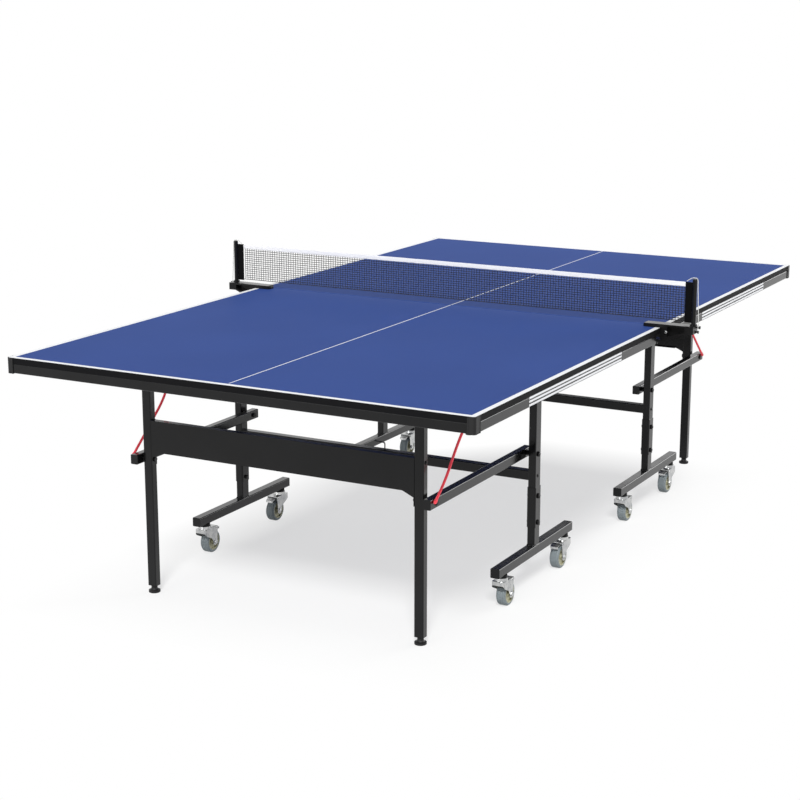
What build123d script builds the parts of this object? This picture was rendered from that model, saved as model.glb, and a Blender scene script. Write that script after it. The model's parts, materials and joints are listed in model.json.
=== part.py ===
# Folding table tennis table on eight swivel casters, with a clamp-on net.
# Frame: X runs along the table, Y across it, Z up; the origin is on the floor under its middle.
# The near half lies at negative X and is modelled here; the far half is its mirror image.
# Left is positive Y. Sizes are in millimetres.
from build123d import *
from math import radians, tan
import os

os.makedirs("parts", exist_ok=True)

# Playing surface, split across the middle into two boards
table_length = 2740.0
table_width = 1525.0
surface_height = 760.0
board_thickness = 18.0
board_corner_radius = 7.5
board_edge_break = 0.6
half_setback = 2.5          # middle of the table to each board's net edge

# Steel frame under each board
rail_width = 20.0
rail_height = 28.0
rail_wall = 1.2
rail_edge_radius = 2.0
rail_net_gap = 72.0         # middle of the table to the end of a side rail
rail_corner_clearance = 8.0  # room for the rounded corner of the cap
stiffener_size = 20.0
stiffener_y = 620.0
stiffener_net_gap = 82.0
rail_plug_flange = 2.5
rail_plug_spigot = 14.0
dome_shoulder_height = 0.78    # share of a bolt head's height, at its shoulder
dome_shoulder_radius = 0.62    # share of its radius there
corner_share = 0.45            # share of a cord's shorter run that an arc may take

# Plastic caps on the two outer corners of each half
cap_wall = 1.5
cap_reach_side = 30.0
cap_reach_end = 21.0
cap_rib_width = 3.0
cap_rib_height = 0.8

# Square tube
tube_wall = 1.5
tube_edge_radius = 3.0
plug_flange = 3.0
plug_spigot = 12.0
plug_slack = 0.2            # each side, plug in tube

# Folding linkage of one half: four pivots on two parallel links
pivot_drop = 25.0           # board underside to the upper pivots
strut_pivot_z = 425.0
post_x = 486.0
leg_x = 1094.0
pivot_bolt_radius = 4.0
running_clearance = 0.1
open_pivot_clearance = 1.0
side_gap = 0.5              # bracket ear to the tube that it holds
bolt_head_height = 4.0
bolt_head_radius = 7.5
nut_height = 4.5
nut_across_flats = 13.0
low_head_height = 3.0

# Posts, legs and struts
post_depth = 38.0
post_width = 25.0
post_y = 535.5
post_top_rise = 9.0         # above the pivot line
leg_depth = 25.0
leg_width = 30.0
leg_y = 463.0
leg_top_rise = 14.0
strut_height = 30.0
strut_width = 25.0
strut_y = 498.5
strut_outer_overhang = 33.0
strut_inner_overhang = 28.0
crossbar_size = 30.0
crossbar_z = 356.0

# Brackets under the board
bracket_sheet = 3.0
bracket_length = 44.0
bracket_ear_radius = 13.0
bracket_flange = 18.0
bracket_screw_radius = 4.0
bracket_screw_height = 2.5

# Caster beams and the splice between beam and post
beam_size = 30.0
beam_z = 120.0
beam_length = 546.0
beam_cap_flange = 4.0
splice_z = 250.0
splice_gap = 1.0
sleeve_bottom = 193.4
sleeve_top = 320.5
sleeve_wall = 2.0
sleeve_slack = 0.15
splice_bolt_zs = (207.4, 292.0)
frame_bolt_radius = 3.0
frame_bolt_slack = 0.2
frame_head_radius = 6.0
frame_head_height = 3.4
frame_nut_height = 4.0
frame_nut_flats = 10.0

# Panel between the legs
plate_sheet = 2.0
plate_bottom = 450.0
plate_top = 548.0
plate_flange = 20.0
plate_lower_flange = 14.0
plate_ear_bottom = 433.0
plate_ear_reach = 36.0      # length of the sloping lower edge
plate_tab_bottom = 408.0
plate_tab_inset = 1.5
plate_bolt_z = 536.0

# Levelling feet
foot_radius = 18.0
foot_pad_height = 7.0
foot_neck_radius = 9.5
foot_neck_z = 15.0
foot_pad_break = 1.0
foot_flare = ((-1, 0.15), (-0.1, 1))
foot_shoulder_z = 20.0
foot_stud_radius = 5.0
foot_stud_top = 62.0
leg_bottom = 27.0
leg_plug_bottom = 22.5
leg_plug_height = 36.0

# Wire hook on the crossbar
hook_wire_radius = 2.0
hook_y = -12.0
hook_height = 22.0
hook_reach = 38.0
hook_bend = 5.0

# Casters
swivel_inset = 45.0         # beam end to the swivel axis
caster_trail = 30.0
wheel_diameter = 75.0
wheel_width = 30.0
tyre_depth = 9.0
tyre_shoulder = 5.0
tyre_shoulder_share = 0.35     # how far the shoulder's arc is cut in at its middle
tyre_groove_count = 3
hub_draft = 1.0
tyre_groove = 0.8
hub_recess = 5.0
hub_rim = 3.5
hub_boss_radius = 9.0
hub_length = 34.0
hub_slack = 0.15
axle_radius = 4.0
fork_sheet = 2.5
fork_side_gap = 1.0         # hub to cheek
fork_crown_top = 88.0
fork_front_lip = 10.0
fork_rear_lip = 12.0
fork_rear_flare = ((-0.3, -1), (0, -1))
fork_front_flare = ((-0.1, 1), (-0.25, 1))
fork_front = 26.0
fork_rear = 45.0
fork_boss_radius = 12.0
fork_skirt_z = 63.0
fork_edge_radius = 6.0
swivel_pin_radius = 6.0
bearing_radius = 21.0
bearing_top = 97.0
bearing_taper = 8.0
rivet_height = 1.0
rivet_rim = 1.0
race_radius = 18.0
race_gap = 0.4
kingpin_head_radius = 10.0
kingpin_head_height = 3.5

# Brake pedal of a caster
brake_pin_x = 37.0
brake_pin_z = 81.0
brake_pin_radius = 2.0
brake_boss_radius = 4.2
brake_width = 26.0
brake_reach = 66.0
brake_drop = 5.0
brake_thickness = 3.0
brake_lip = 7.0
brake_pad_x = 44.5
brake_pad_z = 76.0
brake_edge_round = 2.5

# Net, posts and clamps; they sit on the near half
net_x = -6.0
net_post_x = -7.5
net_post_reach = 98.5        # side edge of the board to the middle of the post
net_post_radius = 7.5
net_post_over_net = 12.0
net_post_drop = 13.0         # below the playing surface
net_end_gap = 31.0           # end of the net to the middle of the post
net_lift = 22.0              # playing surface to the net's lower edge
net_rise = 148.0             # playing surface to the net's top
net_thickness = 1.6
tape_height = 14.5
tape_thickness = 3.0
pocket_end_gap = 7.8         # end pocket to the middle of the post
pocket_lift = 19.0
pocket_thickness = 6.0

# Clamp of the net post: places across the table are measured from the board's side edge
clamp_x_low = -40.0
clamp_x_high = -3.0
web_x_high = 0.5
clamp_arm_reach = 60.5
clamp_arm_thickness = 12.0
clamp_end_wall = 11.0        # middle of the post to the clamp's outer end
clamp_edge_gap = 1.0         # board edge to web
clamp_drop = 46.0            # playing surface to the underside of the jaw
clamp_jaw_thickness = 8.0
clamp_jaw_reach = 41.5
clamp_nose_radius = 12.0
clamp_web_lip = 5.0
clamp_web_foot = 12.0
clamp_brace_run = 20.0
clamp_brace_drop = 7.0
clamp_lug_wall = 4.0
clamp_collar_height = 4.0
web_pocket_start = 22.0
web_pocket_border = 6.0
web_pocket_floor = (14.0, 4.0)
clamp_screw_x = -21.5
clamp_screw_reach = 26.5
clamp_screw_radius = 4.0
clamp_knob_radius = 12.0
clamp_knob_height = 11.0
clamp_knob_notch = 1.6
clamp_knob_notches = 10
clamp_pad_radius = 9.0
clamp_pad_height = 3.0
web_hole_reach = 15.5
web_hole_drop = 19.0
web_hole_radius = 3.0
cleat_lifts = (6.0, -9.0)    # above the playing surface
cleat_reaches = (12.0, 7.0)
cleat_flange = 3.0
cleat_radius = 5.0
cleat_neck_radius = 2.8

# Cords
release_cord_radius = 3.0
release_knot_radius = 4.6
release_knot_length = 12.0
cord_end_gap = 0.3
anchor_x = -832.0
anchor_y = 550.0
anchor_sheet = 3.0
anchor_width = 18.0
anchor_length = 40.0
anchor_collar_radius = 6.0
anchor_collar_height = 6.0
net_cord_radius = 1.3
net_cord_ring_gap = 0.3
# Release cord: along the table from the outer strut pivot, outwards from its lane, and up
release_route = (
    (-6, 0, 14),
    (26, 0.5, 40),
    (62, -0.5, 72),
    (96, 0, 106),
    (126, 1, 134),
    (156, 5, 165),
    (186, 12, 197),
    (214, 20, 228),
)
release_entry = ((22, 6, 50), (0, 0, 24), (0, 0, 0))    # back to the anchor
# Net cord: outwards from the net's end, and above the net's top
net_cord_start = ((4, 2.6), (16, 13))
# Then outwards from the post, and above the post's top
net_cord_route = ((-4, 6), (13, 1), (15, -20), (15.5, -55), (16.5, -100))

# Derived places
end_x = -table_length / 2
side_y = table_width / 2
net_post_y = side_y + net_post_reach
net_half_width = net_post_y - net_end_gap
pocket_outer_y = net_post_y - pocket_end_gap
net_bottom = surface_height + net_lift
net_top = surface_height + net_rise
pocket_bottom = surface_height + pocket_lift
net_post_top = net_top + net_post_over_net
net_post_bottom = surface_height - net_post_drop
clamp_inner_y = side_y - clamp_arm_reach
clamp_outer_y = net_post_y + clamp_end_wall
clamp_web_bottom = surface_height - clamp_drop
clamp_jaw_inner_y = side_y - clamp_jaw_reach
clamp_screw_y = side_y - clamp_screw_reach
web_hole_y = side_y + web_hole_reach
web_hole_z = surface_height - web_hole_drop
cleat_zs = tuple(surface_height + lift for lift in cleat_lifts)
net_edge_x = -half_setback
board_bottom = surface_height - board_thickness
rail_bottom = board_bottom - rail_height
pivot_z = board_bottom - pivot_drop
beam_top = beam_z + beam_size / 2
swivel_offset = beam_length / 2 - swivel_inset
beam_bottom = beam_z - beam_size / 2
post_inner_y = post_y - post_width / 2
post_outer_y = post_y + post_width / 2
leg_inner_y = leg_y - leg_width / 2
leg_outer_y = leg_y + leg_width / 2
strut_inner_y = strut_y - strut_width / 2
strut_outer_y = strut_y + strut_width / 2
axle_z = wheel_diameter / 2


def write(name, part):
    part.label = name
    export_step(part, f"parts/{name}.step")


def write_both(name, part):
    """Writes a piece of the near half and its mirror image for the far half."""
    write("near_" + name, part)
    write("far_" + name, mirror(part, about=Plane.YZ))


def gather(*builders):
    """Puts the solids of several builders side by side in one piece."""
    return Compound(children=[solid for builder in builders for solid in builder.part.solids()])


def tube_section(width, height, wall, radius):
    """Draws a tube's section in the open sketch."""
    RectangleRounded(width, height, radius)
    RectangleRounded(width - 2 * wall, height - 2 * wall, radius - wall, mode=Mode.SUBTRACT)


def plug_section(width, height, wall, radius):
    """Draws the section that fills a tube, with slack."""
    inner_radius = radius - wall - plug_slack / 2
    slack = 2 * (wall + plug_slack)
    RectangleRounded(width - slack, height - slack, inner_radius)


def pin_along_y(x, z, y_from, y_to, radius, mode=Mode.ADD):
    """Adds or cuts a round bar parallel to Y, at the left side."""
    with BuildSketch(Plane.XZ.offset(-y_from)) as section:
        with Locations((x, z)):
            Circle(radius)
    extrude(section.sketch, amount=y_from - y_to, mode=mode)


def nut_along_y(x, z, y_from, y_to, flats):
    """Adds a hexagon nut whose axis is parallel to Y."""
    with BuildSketch(Plane.XZ.offset(-y_from)) as section:
        with Locations((x, z)):
            RegularPolygon(flats / 2, 6, major_radius=False)
    extrude(section.sketch, amount=y_from - y_to)


def dome_along_y(x, z, y_seat, height, radius):
    """Adds a domed bolt head on a seat that faces outwards."""
    with BuildSketch(Plane.YZ.offset(x)) as section:
        with BuildLine():
            Line((y_seat, z), (y_seat + height, z))
            ThreePointArc(
                (y_seat + height, z),
                (y_seat + dome_shoulder_height * height, z + dome_shoulder_radius * radius),
                (y_seat, z + radius),
            )
            Line((y_seat, z + radius), (y_seat, z))
        make_face()
    revolve(section.sketch, axis=Axis((x, 0, z), (0, 1, 0)))


def cord_path(points):
    """Joins straight runs by the largest tangent arcs that they leave room for."""
    corners = [Vector(*point) for point in points]
    radii = []
    for before, corner, after in zip(corners, corners[1:], corners[2:]):
        turn = (corner - before).get_angle(after - corner)
        shorter = min((corner - before).length, (after - corner).length)
        radii.append(corner_share * shorter / tan(radians(turn) / 2))
    print("cord radii", [round(radius, 1) for radius in radii])
    return FilletPolyline(*corners, radius=radii)


def build_top_panel():
    with BuildPart() as top_panel:
        with BuildSketch(Plane.XY.offset(board_bottom)):
            with Locations(((end_x + net_edge_x) / 2, 0)):
                Rectangle(net_edge_x - end_x, table_width)
        extrude(amount=board_thickness)
        fillet(top_panel.edges().filter_by(Axis.Z).group_by(Axis.X)[0], board_corner_radius)
        chamfer(top_panel.faces().sort_by(Axis.Z)[-1].edges(), board_edge_break)
    return top_panel.part


def build_top_frame():
    rail_z = rail_bottom + rail_height / 2
    side_rail_start = end_x + rail_corner_clearance
    side_rail_end = -rail_net_gap - rail_plug_flange
    stiffener_start = end_x + rail_width
    with BuildPart() as end_rail:
        with BuildSketch(Plane.XZ):
            with Locations((end_x + rail_width / 2, rail_z)):
                tube_section(rail_width, rail_height, rail_wall, rail_edge_radius)
        extrude(amount=side_y - rail_width, both=True)
    with BuildPart() as side_rails:
        with BuildSketch(Plane.YZ.offset(side_rail_start)):
            with Locations((side_y - rail_width / 2, rail_z)):
                tube_section(rail_width, rail_height, rail_wall, rail_edge_radius)
        extrude(amount=side_rail_end - side_rail_start)
        mirror(about=Plane.XZ)
    with BuildPart() as stiffeners:
        with BuildSketch(Plane.YZ.offset(stiffener_start)):
            with Locations((stiffener_y, board_bottom - stiffener_size / 2)):
                tube_section(stiffener_size, stiffener_size, rail_wall, rail_edge_radius)
        extrude(amount=-stiffener_net_gap - stiffener_start)
        mirror(about=Plane.XZ)
    return gather(end_rail, side_rails, stiffeners)


def build_corner_caps():
    bottom = rail_bottom - cap_wall
    height = surface_height - bottom
    low_x = end_x - cap_wall
    high_x = end_x + cap_reach_side
    low_y = side_y - cap_reach_end
    high_y = side_y + cap_wall
    plug_x = -rail_net_gap - rail_plug_flange
    rail_z = rail_bottom + rail_height / 2
    with BuildPart() as corner_caps:
        with BuildSketch(Plane.XY.offset(bottom)) as outline:
            with Locations(((low_x + high_x) / 2, (low_y + high_y) / 2)):
                Rectangle(high_x - low_x, high_y - low_y)
            corner = outline.vertices().group_by(Axis.X)[0].sort_by(Axis.Y)[-1]
            fillet(corner, board_corner_radius + cap_wall)
            # A raised rib along each of the two free borders
            with Locations((high_x - cap_rib_width / 2, high_y)):
                Rectangle(cap_rib_width, 2 * cap_rib_height)
            with Locations((low_x, low_y + cap_rib_width / 2)):
                Rectangle(2 * cap_rib_height, cap_rib_width)
        extrude(amount=height)
        with BuildSketch(Plane.XY.offset(rail_bottom)) as inside:
            with Locations(((end_x + high_x) / 2 + cap_wall, (low_y + side_y) / 2 - cap_wall)):
                Rectangle(high_x - end_x + 2 * cap_wall, side_y - low_y + 2 * cap_wall)
            corner = inside.vertices().group_by(Axis.X)[0].sort_by(Axis.Y)[-1]
            fillet(corner, board_corner_radius)
        extrude(amount=height, mode=Mode.SUBTRACT)
        # Plug in the net end of the side rail
        with BuildSketch(Plane.YZ.offset(plug_x)):
            with Locations((side_y - rail_width / 2, rail_z)):
                RectangleRounded(rail_width, rail_height, rail_edge_radius)
        extrude(amount=rail_plug_flange)
        with BuildSketch(Plane.YZ.offset(plug_x)):
            with Locations((side_y - rail_width / 2, rail_z)):
                plug_section(rail_width, rail_height, rail_wall, rail_edge_radius)
        extrude(amount=-rail_plug_spigot)
        mirror(about=Plane.XZ)
    return corner_caps.part


def add_pivot_bracket(x, y, held_width):
    """A U of sheet steel under the board: web, two ears with a pivot hole, and screw flanges."""
    inner = held_width / 2 + side_gap
    outer = inner + bracket_sheet
    web_z = board_bottom - bracket_sheet
    with BuildSketch(Plane.XZ.offset(-y)) as ear:
        with Locations((x, pivot_z)):
            Circle(bracket_ear_radius)
        with Locations((x, board_bottom - bracket_sheet / 2)):
            Rectangle(bracket_length, bracket_sheet)
        make_hull()
    extrude(ear.sketch, amount=outer, both=True)
    with BuildSketch(Plane.XZ.offset(-y)) as between_ears:
        with Locations((x, web_z)):
            Rectangle(bracket_length, 4 * pivot_drop, align=(Align.CENTER, Align.MAX))
    extrude(between_ears.sketch, amount=inner, both=True, mode=Mode.SUBTRACT)
    bore_radius = pivot_bolt_radius + running_clearance
    pin_along_y(x, pivot_z, y - outer, y + outer, bore_radius, Mode.SUBTRACT)
    flange_shift = outer + bracket_flange / 2
    with BuildSketch(Plane.XY.offset(web_z)) as flanges:
        with Locations((x, y - flange_shift), (x, y + flange_shift)):
            Rectangle(bracket_length, bracket_flange)
    extrude(flanges.sketch, amount=bracket_sheet)
    # Two pan-head screws hold each flange
    with BuildSketch(Plane.XY.offset(web_z)) as screws:
        with Locations((x, y - flange_shift), (x, y + flange_shift)):
            with GridLocations(bracket_length - 4 * bracket_screw_radius, 0, 2, 1):
                Circle(bracket_screw_radius)
    extrude(screws.sketch, amount=-bracket_screw_height)


def build_pivot_brackets():
    post_outer = post_width / 2 + side_gap + bracket_sheet
    leg_outer = leg_width / 2 + side_gap + bracket_sheet
    with BuildPart() as pivot_brackets:
        add_pivot_bracket(-post_x, post_y, post_width)
        add_pivot_bracket(-leg_x, leg_y, leg_width)
        # Guide of the release cord: a plate under the board with a collar that holds the cord
        with BuildSketch(Plane.XY.offset(board_bottom)):
            with Locations((anchor_x, anchor_y)):
                RectangleRounded(anchor_length, anchor_width, anchor_width / 3)
        extrude(amount=-anchor_sheet)
        with BuildSketch(Plane.XY.offset(board_bottom - anchor_sheet)):
            with Locations((anchor_x, anchor_y)):
                Circle(anchor_collar_radius)
        extrude(amount=-anchor_collar_height)
        mirror(about=Plane.XZ)
    with BuildPart() as pivot_bolts:
        for x, y, outer in ((post_x, post_y, post_outer), (leg_x, leg_y, leg_outer)):
            head = bolt_head_height if y == post_y else low_head_height
            pin_along_y(-x, pivot_z, y - outer, y + outer, pivot_bolt_radius)
            nut_along_y(-x, pivot_z, y - outer - nut_height, y - outer, nut_across_flats)
            dome_along_y(-x, pivot_z, y + outer, head, bolt_head_radius)
        mirror(about=Plane.XZ)
    return gather(pivot_brackets, pivot_bolts)


def build_posts():
    post_top = pivot_z + post_top_rise
    with BuildPart() as posts:
        with BuildSketch(Plane.XY.offset(splice_z + splice_gap)):
            with Locations((-post_x, post_y)):
                tube_section(post_depth, post_width, tube_wall, tube_edge_radius)
        extrude(amount=post_top - splice_z - splice_gap)
        bolt_holes = (
            (pivot_z, pivot_bolt_radius + running_clearance),
            (strut_pivot_z, pivot_bolt_radius + frame_bolt_slack),
            (crossbar_z, frame_bolt_radius + frame_bolt_slack),
            (splice_bolt_zs[1], frame_bolt_radius + frame_bolt_slack),
        )
        for z, radius in bolt_holes:
            pin_along_y(-post_x, z, post_inner_y, post_outer_y, radius, Mode.SUBTRACT)
        mirror(about=Plane.XZ)
    with BuildPart() as sleeves:
        growth = 2 * (sleeve_slack + sleeve_wall)
        corner = tube_edge_radius + sleeve_slack + sleeve_wall
        with BuildSketch(Plane.XY.offset(sleeve_bottom)):
            with Locations((-post_x, post_y)):
                tube_section(post_depth + growth, post_width + growth, sleeve_wall, corner)
        extrude(amount=sleeve_top - sleeve_bottom)
        for z in splice_bolt_zs:
            pin_along_y(
                -post_x,
                z,
                post_inner_y - growth,
                post_outer_y + growth,
                frame_bolt_radius + frame_bolt_slack,
                Mode.SUBTRACT,
            )
        mirror(about=Plane.XZ)
    return gather(posts, sleeves)


def build_crossbar():
    with BuildPart() as crossbar:
        with BuildSketch(Plane.XZ):
            with Locations((-post_x, crossbar_z)):
                tube_section(crossbar_size, crossbar_size, tube_wall, tube_edge_radius)
        extrude(amount=post_inner_y, both=True)
    with BuildPart() as hook:
        foot = crossbar_z + crossbar_size / 2
        with BuildLine():
            FilletPolyline(
                (-post_x, hook_y, foot),
                (-post_x, hook_y, foot + hook_height),
                (-post_x, hook_y + hook_reach, foot + hook_height + hook_wire_radius),
                radius=hook_bend,
            )
        with BuildSketch(Plane.XY.offset(foot)):
            with Locations((-post_x, hook_y)):
                Circle(hook_wire_radius)
        sweep()
    return gather(crossbar, hook)


def build_base_beams():
    tube_half = beam_length / 2 - beam_cap_flange
    with BuildPart() as base_beams:
        with BuildSketch(Plane.YZ.offset(-post_x - tube_half)):
            with Locations((post_y, beam_z)):
                tube_section(beam_size, beam_size, tube_wall, tube_edge_radius)
        extrude(amount=2 * tube_half)
        with BuildSketch(Plane.XY.offset(beam_bottom)):
            with Locations((-post_x - swivel_offset, post_y), (-post_x + swivel_offset, post_y)):
                Circle(swivel_pin_radius + frame_bolt_slack)
        extrude(amount=tube_wall, mode=Mode.SUBTRACT)
        mirror(about=Plane.XZ)
    # Uprights welded on the beams
    with BuildPart() as uprights:
        with BuildSketch(Plane.XY.offset(beam_top)):
            with Locations((-post_x, post_y)):
                tube_section(post_depth, post_width, tube_wall, tube_edge_radius)
        extrude(amount=splice_z - beam_top)
        stub_bolt_radius = frame_bolt_radius + frame_bolt_slack
        pin_along_y(
            -post_x, splice_bolt_zs[0], post_inner_y, post_outer_y, stub_bolt_radius, Mode.SUBTRACT
        )
        mirror(about=Plane.XZ)
    with BuildPart() as beam_caps:
        for side in (-1, 1):
            cap_x = -post_x + side * tube_half
            with BuildSketch(Plane.YZ.offset(cap_x)):
                with Locations((post_y, beam_z)):
                    RectangleRounded(beam_size, beam_size, tube_edge_radius)
            extrude(amount=side * beam_cap_flange)
            with BuildSketch(Plane.YZ.offset(cap_x)):
                with Locations((post_y, beam_z)):
                    plug_section(beam_size, beam_size, tube_wall, tube_edge_radius)
            extrude(amount=-side * plug_spigot)
        mirror(about=Plane.XZ)
    return gather(base_beams, uprights, beam_caps)


def build_base_fasteners():
    sleeve_side = post_width / 2 + sleeve_slack + sleeve_wall
    nut_face = strut_inner_y - side_gap
    stem_top = beam_bottom + tube_wall + 2 * kingpin_head_height
    with BuildPart() as base_fasteners:
        for z in splice_bolt_zs:
            pin_along_y(-post_x, z, post_y - sleeve_side, post_y + sleeve_side, frame_bolt_radius)
            nut_along_y(
                -post_x,
                z,
                post_y - sleeve_side - frame_nut_height,
                post_y - sleeve_side,
                frame_nut_flats,
            )
            dome_along_y(-post_x, z, post_y + sleeve_side, frame_head_height, frame_head_radius)
        # Crossbar bolt, screwed into the bar's end from outside the post
        pin_along_y(-post_x, crossbar_z, post_inner_y, post_outer_y, frame_bolt_radius)
        dome_along_y(-post_x, crossbar_z, post_outer_y, frame_head_height, frame_head_radius)
        # Strut pivot: bolt through post and strut, with a spacer bush between them
        pin_along_y(-post_x, strut_pivot_z, nut_face, post_outer_y, pivot_bolt_radius)
        nut_along_y(-post_x, strut_pivot_z, nut_face - nut_height, nut_face, nut_across_flats)
        pin_along_y(
            -post_x, strut_pivot_z, strut_outer_y + side_gap, post_inner_y, bolt_head_radius
        )
        dome_along_y(-post_x, strut_pivot_z, post_outer_y, bolt_head_height, bolt_head_radius)
        # Kingpins of the casters, with the fixed upper race under the beam
        for side in (-1, 1):
            place = (-post_x + side * swivel_offset, post_y)
            with BuildSketch(Plane.XY.offset(bearing_top + race_gap)):
                with Locations(place):
                    Circle(race_radius)
            extrude(amount=beam_bottom - bearing_top - race_gap)
            crown_bottom = fork_crown_top - fork_sheet
            with BuildSketch(Plane.XY.offset(crown_bottom - race_gap)):
                with Locations(place):
                    Circle(swivel_pin_radius)
            extrude(amount=stem_top - crown_bottom + race_gap)
            with BuildSketch(Plane.XY.offset(crown_bottom - race_gap)):
                with Locations(place):
                    Circle(kingpin_head_radius)
            extrude(amount=-kingpin_head_height)
        mirror(about=Plane.XZ)
    return base_fasteners.part


def build_legs():
    with BuildPart() as legs:
        with BuildSketch(Plane.XY.offset(leg_bottom)):
            with Locations((-leg_x, leg_y)):
                tube_section(leg_depth, leg_width, tube_wall, tube_edge_radius)
        extrude(amount=pivot_z + leg_top_rise - leg_bottom)
        bolt_holes = (
            (pivot_z, pivot_bolt_radius + running_clearance),
            (strut_pivot_z, pivot_bolt_radius + frame_bolt_slack),
            (plate_bolt_z, frame_bolt_radius + frame_bolt_slack),
        )
        for z, radius in bolt_holes:
            pin_along_y(-leg_x, z, leg_inner_y, leg_outer_y, radius, Mode.SUBTRACT)
        mirror(about=Plane.XZ)
    with BuildPart() as leg_plugs:
        with BuildSketch(Plane.XY.offset(leg_plug_bottom)):
            with Locations((-leg_x, leg_y)):
                RectangleRounded(leg_depth, leg_width, tube_edge_radius)
        extrude(amount=leg_bottom - leg_plug_bottom)
        with BuildSketch(Plane.XY.offset(leg_bottom)):
            with Locations((-leg_x, leg_y)):
                plug_section(leg_depth, leg_width, tube_wall, tube_edge_radius)
        extrude(amount=leg_plug_height - plug_flange)
        with BuildSketch(Plane.XY.offset(leg_plug_bottom)):
            with Locations((-leg_x, leg_y)):
                Circle(foot_stud_radius + running_clearance)
        extrude(amount=leg_plug_height + leg_bottom, mode=Mode.SUBTRACT)
        mirror(about=Plane.XZ)
    return gather(legs, leg_plugs)


def build_leg_plate():
    front_x = -leg_x - leg_depth / 2
    tab_y = leg_inner_y - plate_sheet
    ear_y = tab_y - plate_ear_reach
    with BuildPart() as leg_plate:
        # Front sheet, with its lower edge dropping towards the legs
        with BuildSketch(Plane.YZ.offset(front_x)):
            with BuildLine():
                Polyline(
                    (0, plate_top),
                    (leg_inner_y, plate_top),
                    (leg_inner_y, plate_ear_bottom),
                    (ear_y, plate_bottom),
                    (0, plate_bottom),
                    close=True,
                )
            make_face()
        extrude(amount=plate_sheet)
        # Stiffening flanges along the top and bottom edges
        with BuildSketch(Plane.XY.offset(plate_top)):
            with Locations((front_x, 0)):
                Rectangle(plate_flange, tab_y, align=(Align.MIN, Align.MIN))
        extrude(amount=-plate_sheet)
        with BuildSketch(Plane.XY.offset(plate_bottom)):
            with Locations((front_x, 0)):
                Rectangle(plate_lower_flange, ear_y, align=(Align.MIN, Align.MIN))
        extrude(amount=plate_sheet)
        # Tab bolted to the inner face of the leg
        with BuildSketch(Plane.XZ.offset(-tab_y)):
            with Locations((front_x, plate_top)):
                Rectangle(
                    leg_depth - plate_tab_inset,
                    plate_top - plate_tab_bottom,
                    align=(Align.MIN, Align.MAX),
                )
        extrude(amount=-plate_sheet)
        pin_along_y(
            -leg_x,
            strut_pivot_z,
            tab_y,
            leg_inner_y,
            pivot_bolt_radius + frame_bolt_slack,
            Mode.SUBTRACT,
        )
        pin_along_y(
            -leg_x,
            plate_bolt_z,
            tab_y,
            leg_inner_y,
            frame_bolt_radius + frame_bolt_slack,
            Mode.SUBTRACT,
        )
        mirror(about=Plane.XZ)
    with BuildPart() as leg_bolts:
        pin_along_y(-leg_x, plate_bolt_z, tab_y, leg_outer_y, frame_bolt_radius)
        nut_along_y(-leg_x, plate_bolt_z, tab_y - frame_nut_height, tab_y, frame_nut_flats)
        dome_along_y(-leg_x, plate_bolt_z, leg_outer_y, frame_head_height, frame_head_radius)
        # Outer strut pivot: bolt through tab, leg and strut, with a spacer bush
        nut_face = strut_outer_y + side_gap
        pin_along_y(-leg_x, strut_pivot_z, tab_y, nut_face, pivot_bolt_radius)
        nut_along_y(-leg_x, strut_pivot_z, tab_y - nut_height, tab_y, nut_across_flats)
        pin_along_y(-leg_x, strut_pivot_z, leg_outer_y, strut_inner_y - side_gap, bolt_head_radius)
        nut_along_y(-leg_x, strut_pivot_z, nut_face, nut_face + low_head_height, nut_across_flats)
        mirror(about=Plane.XZ)
    return gather(leg_plate, leg_bolts)


def build_struts():
    outer_x = -leg_x - strut_outer_overhang
    inner_x = -post_x + strut_inner_overhang
    with BuildPart() as struts:
        with BuildSketch(Plane.YZ.offset(outer_x + plug_flange)):
            with Locations((strut_y, strut_pivot_z)):
                tube_section(strut_width, strut_height, tube_wall, tube_edge_radius)
        extrude(amount=inner_x - outer_x - 2 * plug_flange)
        pivot_holes = (
            (-post_x, pivot_bolt_radius + running_clearance),
            (-leg_x, pivot_bolt_radius + open_pivot_clearance),
        )
        for x, radius in pivot_holes:
            pin_along_y(x, strut_pivot_z, strut_inner_y, strut_outer_y, radius, Mode.SUBTRACT)
        mirror(about=Plane.XZ)
    with BuildPart() as strut_plugs:
        for x, side in ((outer_x, 1), (inner_x, -1)):
            with BuildSketch(Plane.YZ.offset(x)):
                with Locations((strut_y, strut_pivot_z)):
                    RectangleRounded(strut_width, strut_height, tube_edge_radius)
            extrude(amount=side * plug_flange)
            with BuildSketch(Plane.YZ.offset(x + side * plug_flange)):
                with Locations((strut_y, strut_pivot_z)):
                    plug_section(strut_width, strut_height, tube_wall, tube_edge_radius)
            extrude(amount=side * plug_spigot)
        mirror(about=Plane.XZ)
    return gather(struts, strut_plugs)


def build_foot():
    """Left levelling foot: a flared pad on a threaded stud."""
    with BuildPart() as foot:
        with BuildSketch(Plane.XZ):
            with BuildLine():
                Polyline(
                    (0, 0),
                    (foot_radius - foot_pad_break, 0),
                    (foot_radius, foot_pad_break),
                    (foot_radius, foot_pad_height),
                )
                Spline(
                    (foot_radius, foot_pad_height),
                    (foot_neck_radius, foot_neck_z),
                    tangents=foot_flare,
                )
                Polyline(
                    (foot_neck_radius, foot_neck_z),
                    (foot_neck_radius, foot_shoulder_z),
                    (foot_stud_radius, foot_shoulder_z),
                    (foot_stud_radius, foot_stud_top),
                    (0, foot_stud_top),
                    (0, 0),
                )
            make_face()
        revolve(axis=Axis.Z)
    return foot.part.moved(Location((-leg_x, leg_y, 0)))


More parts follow.
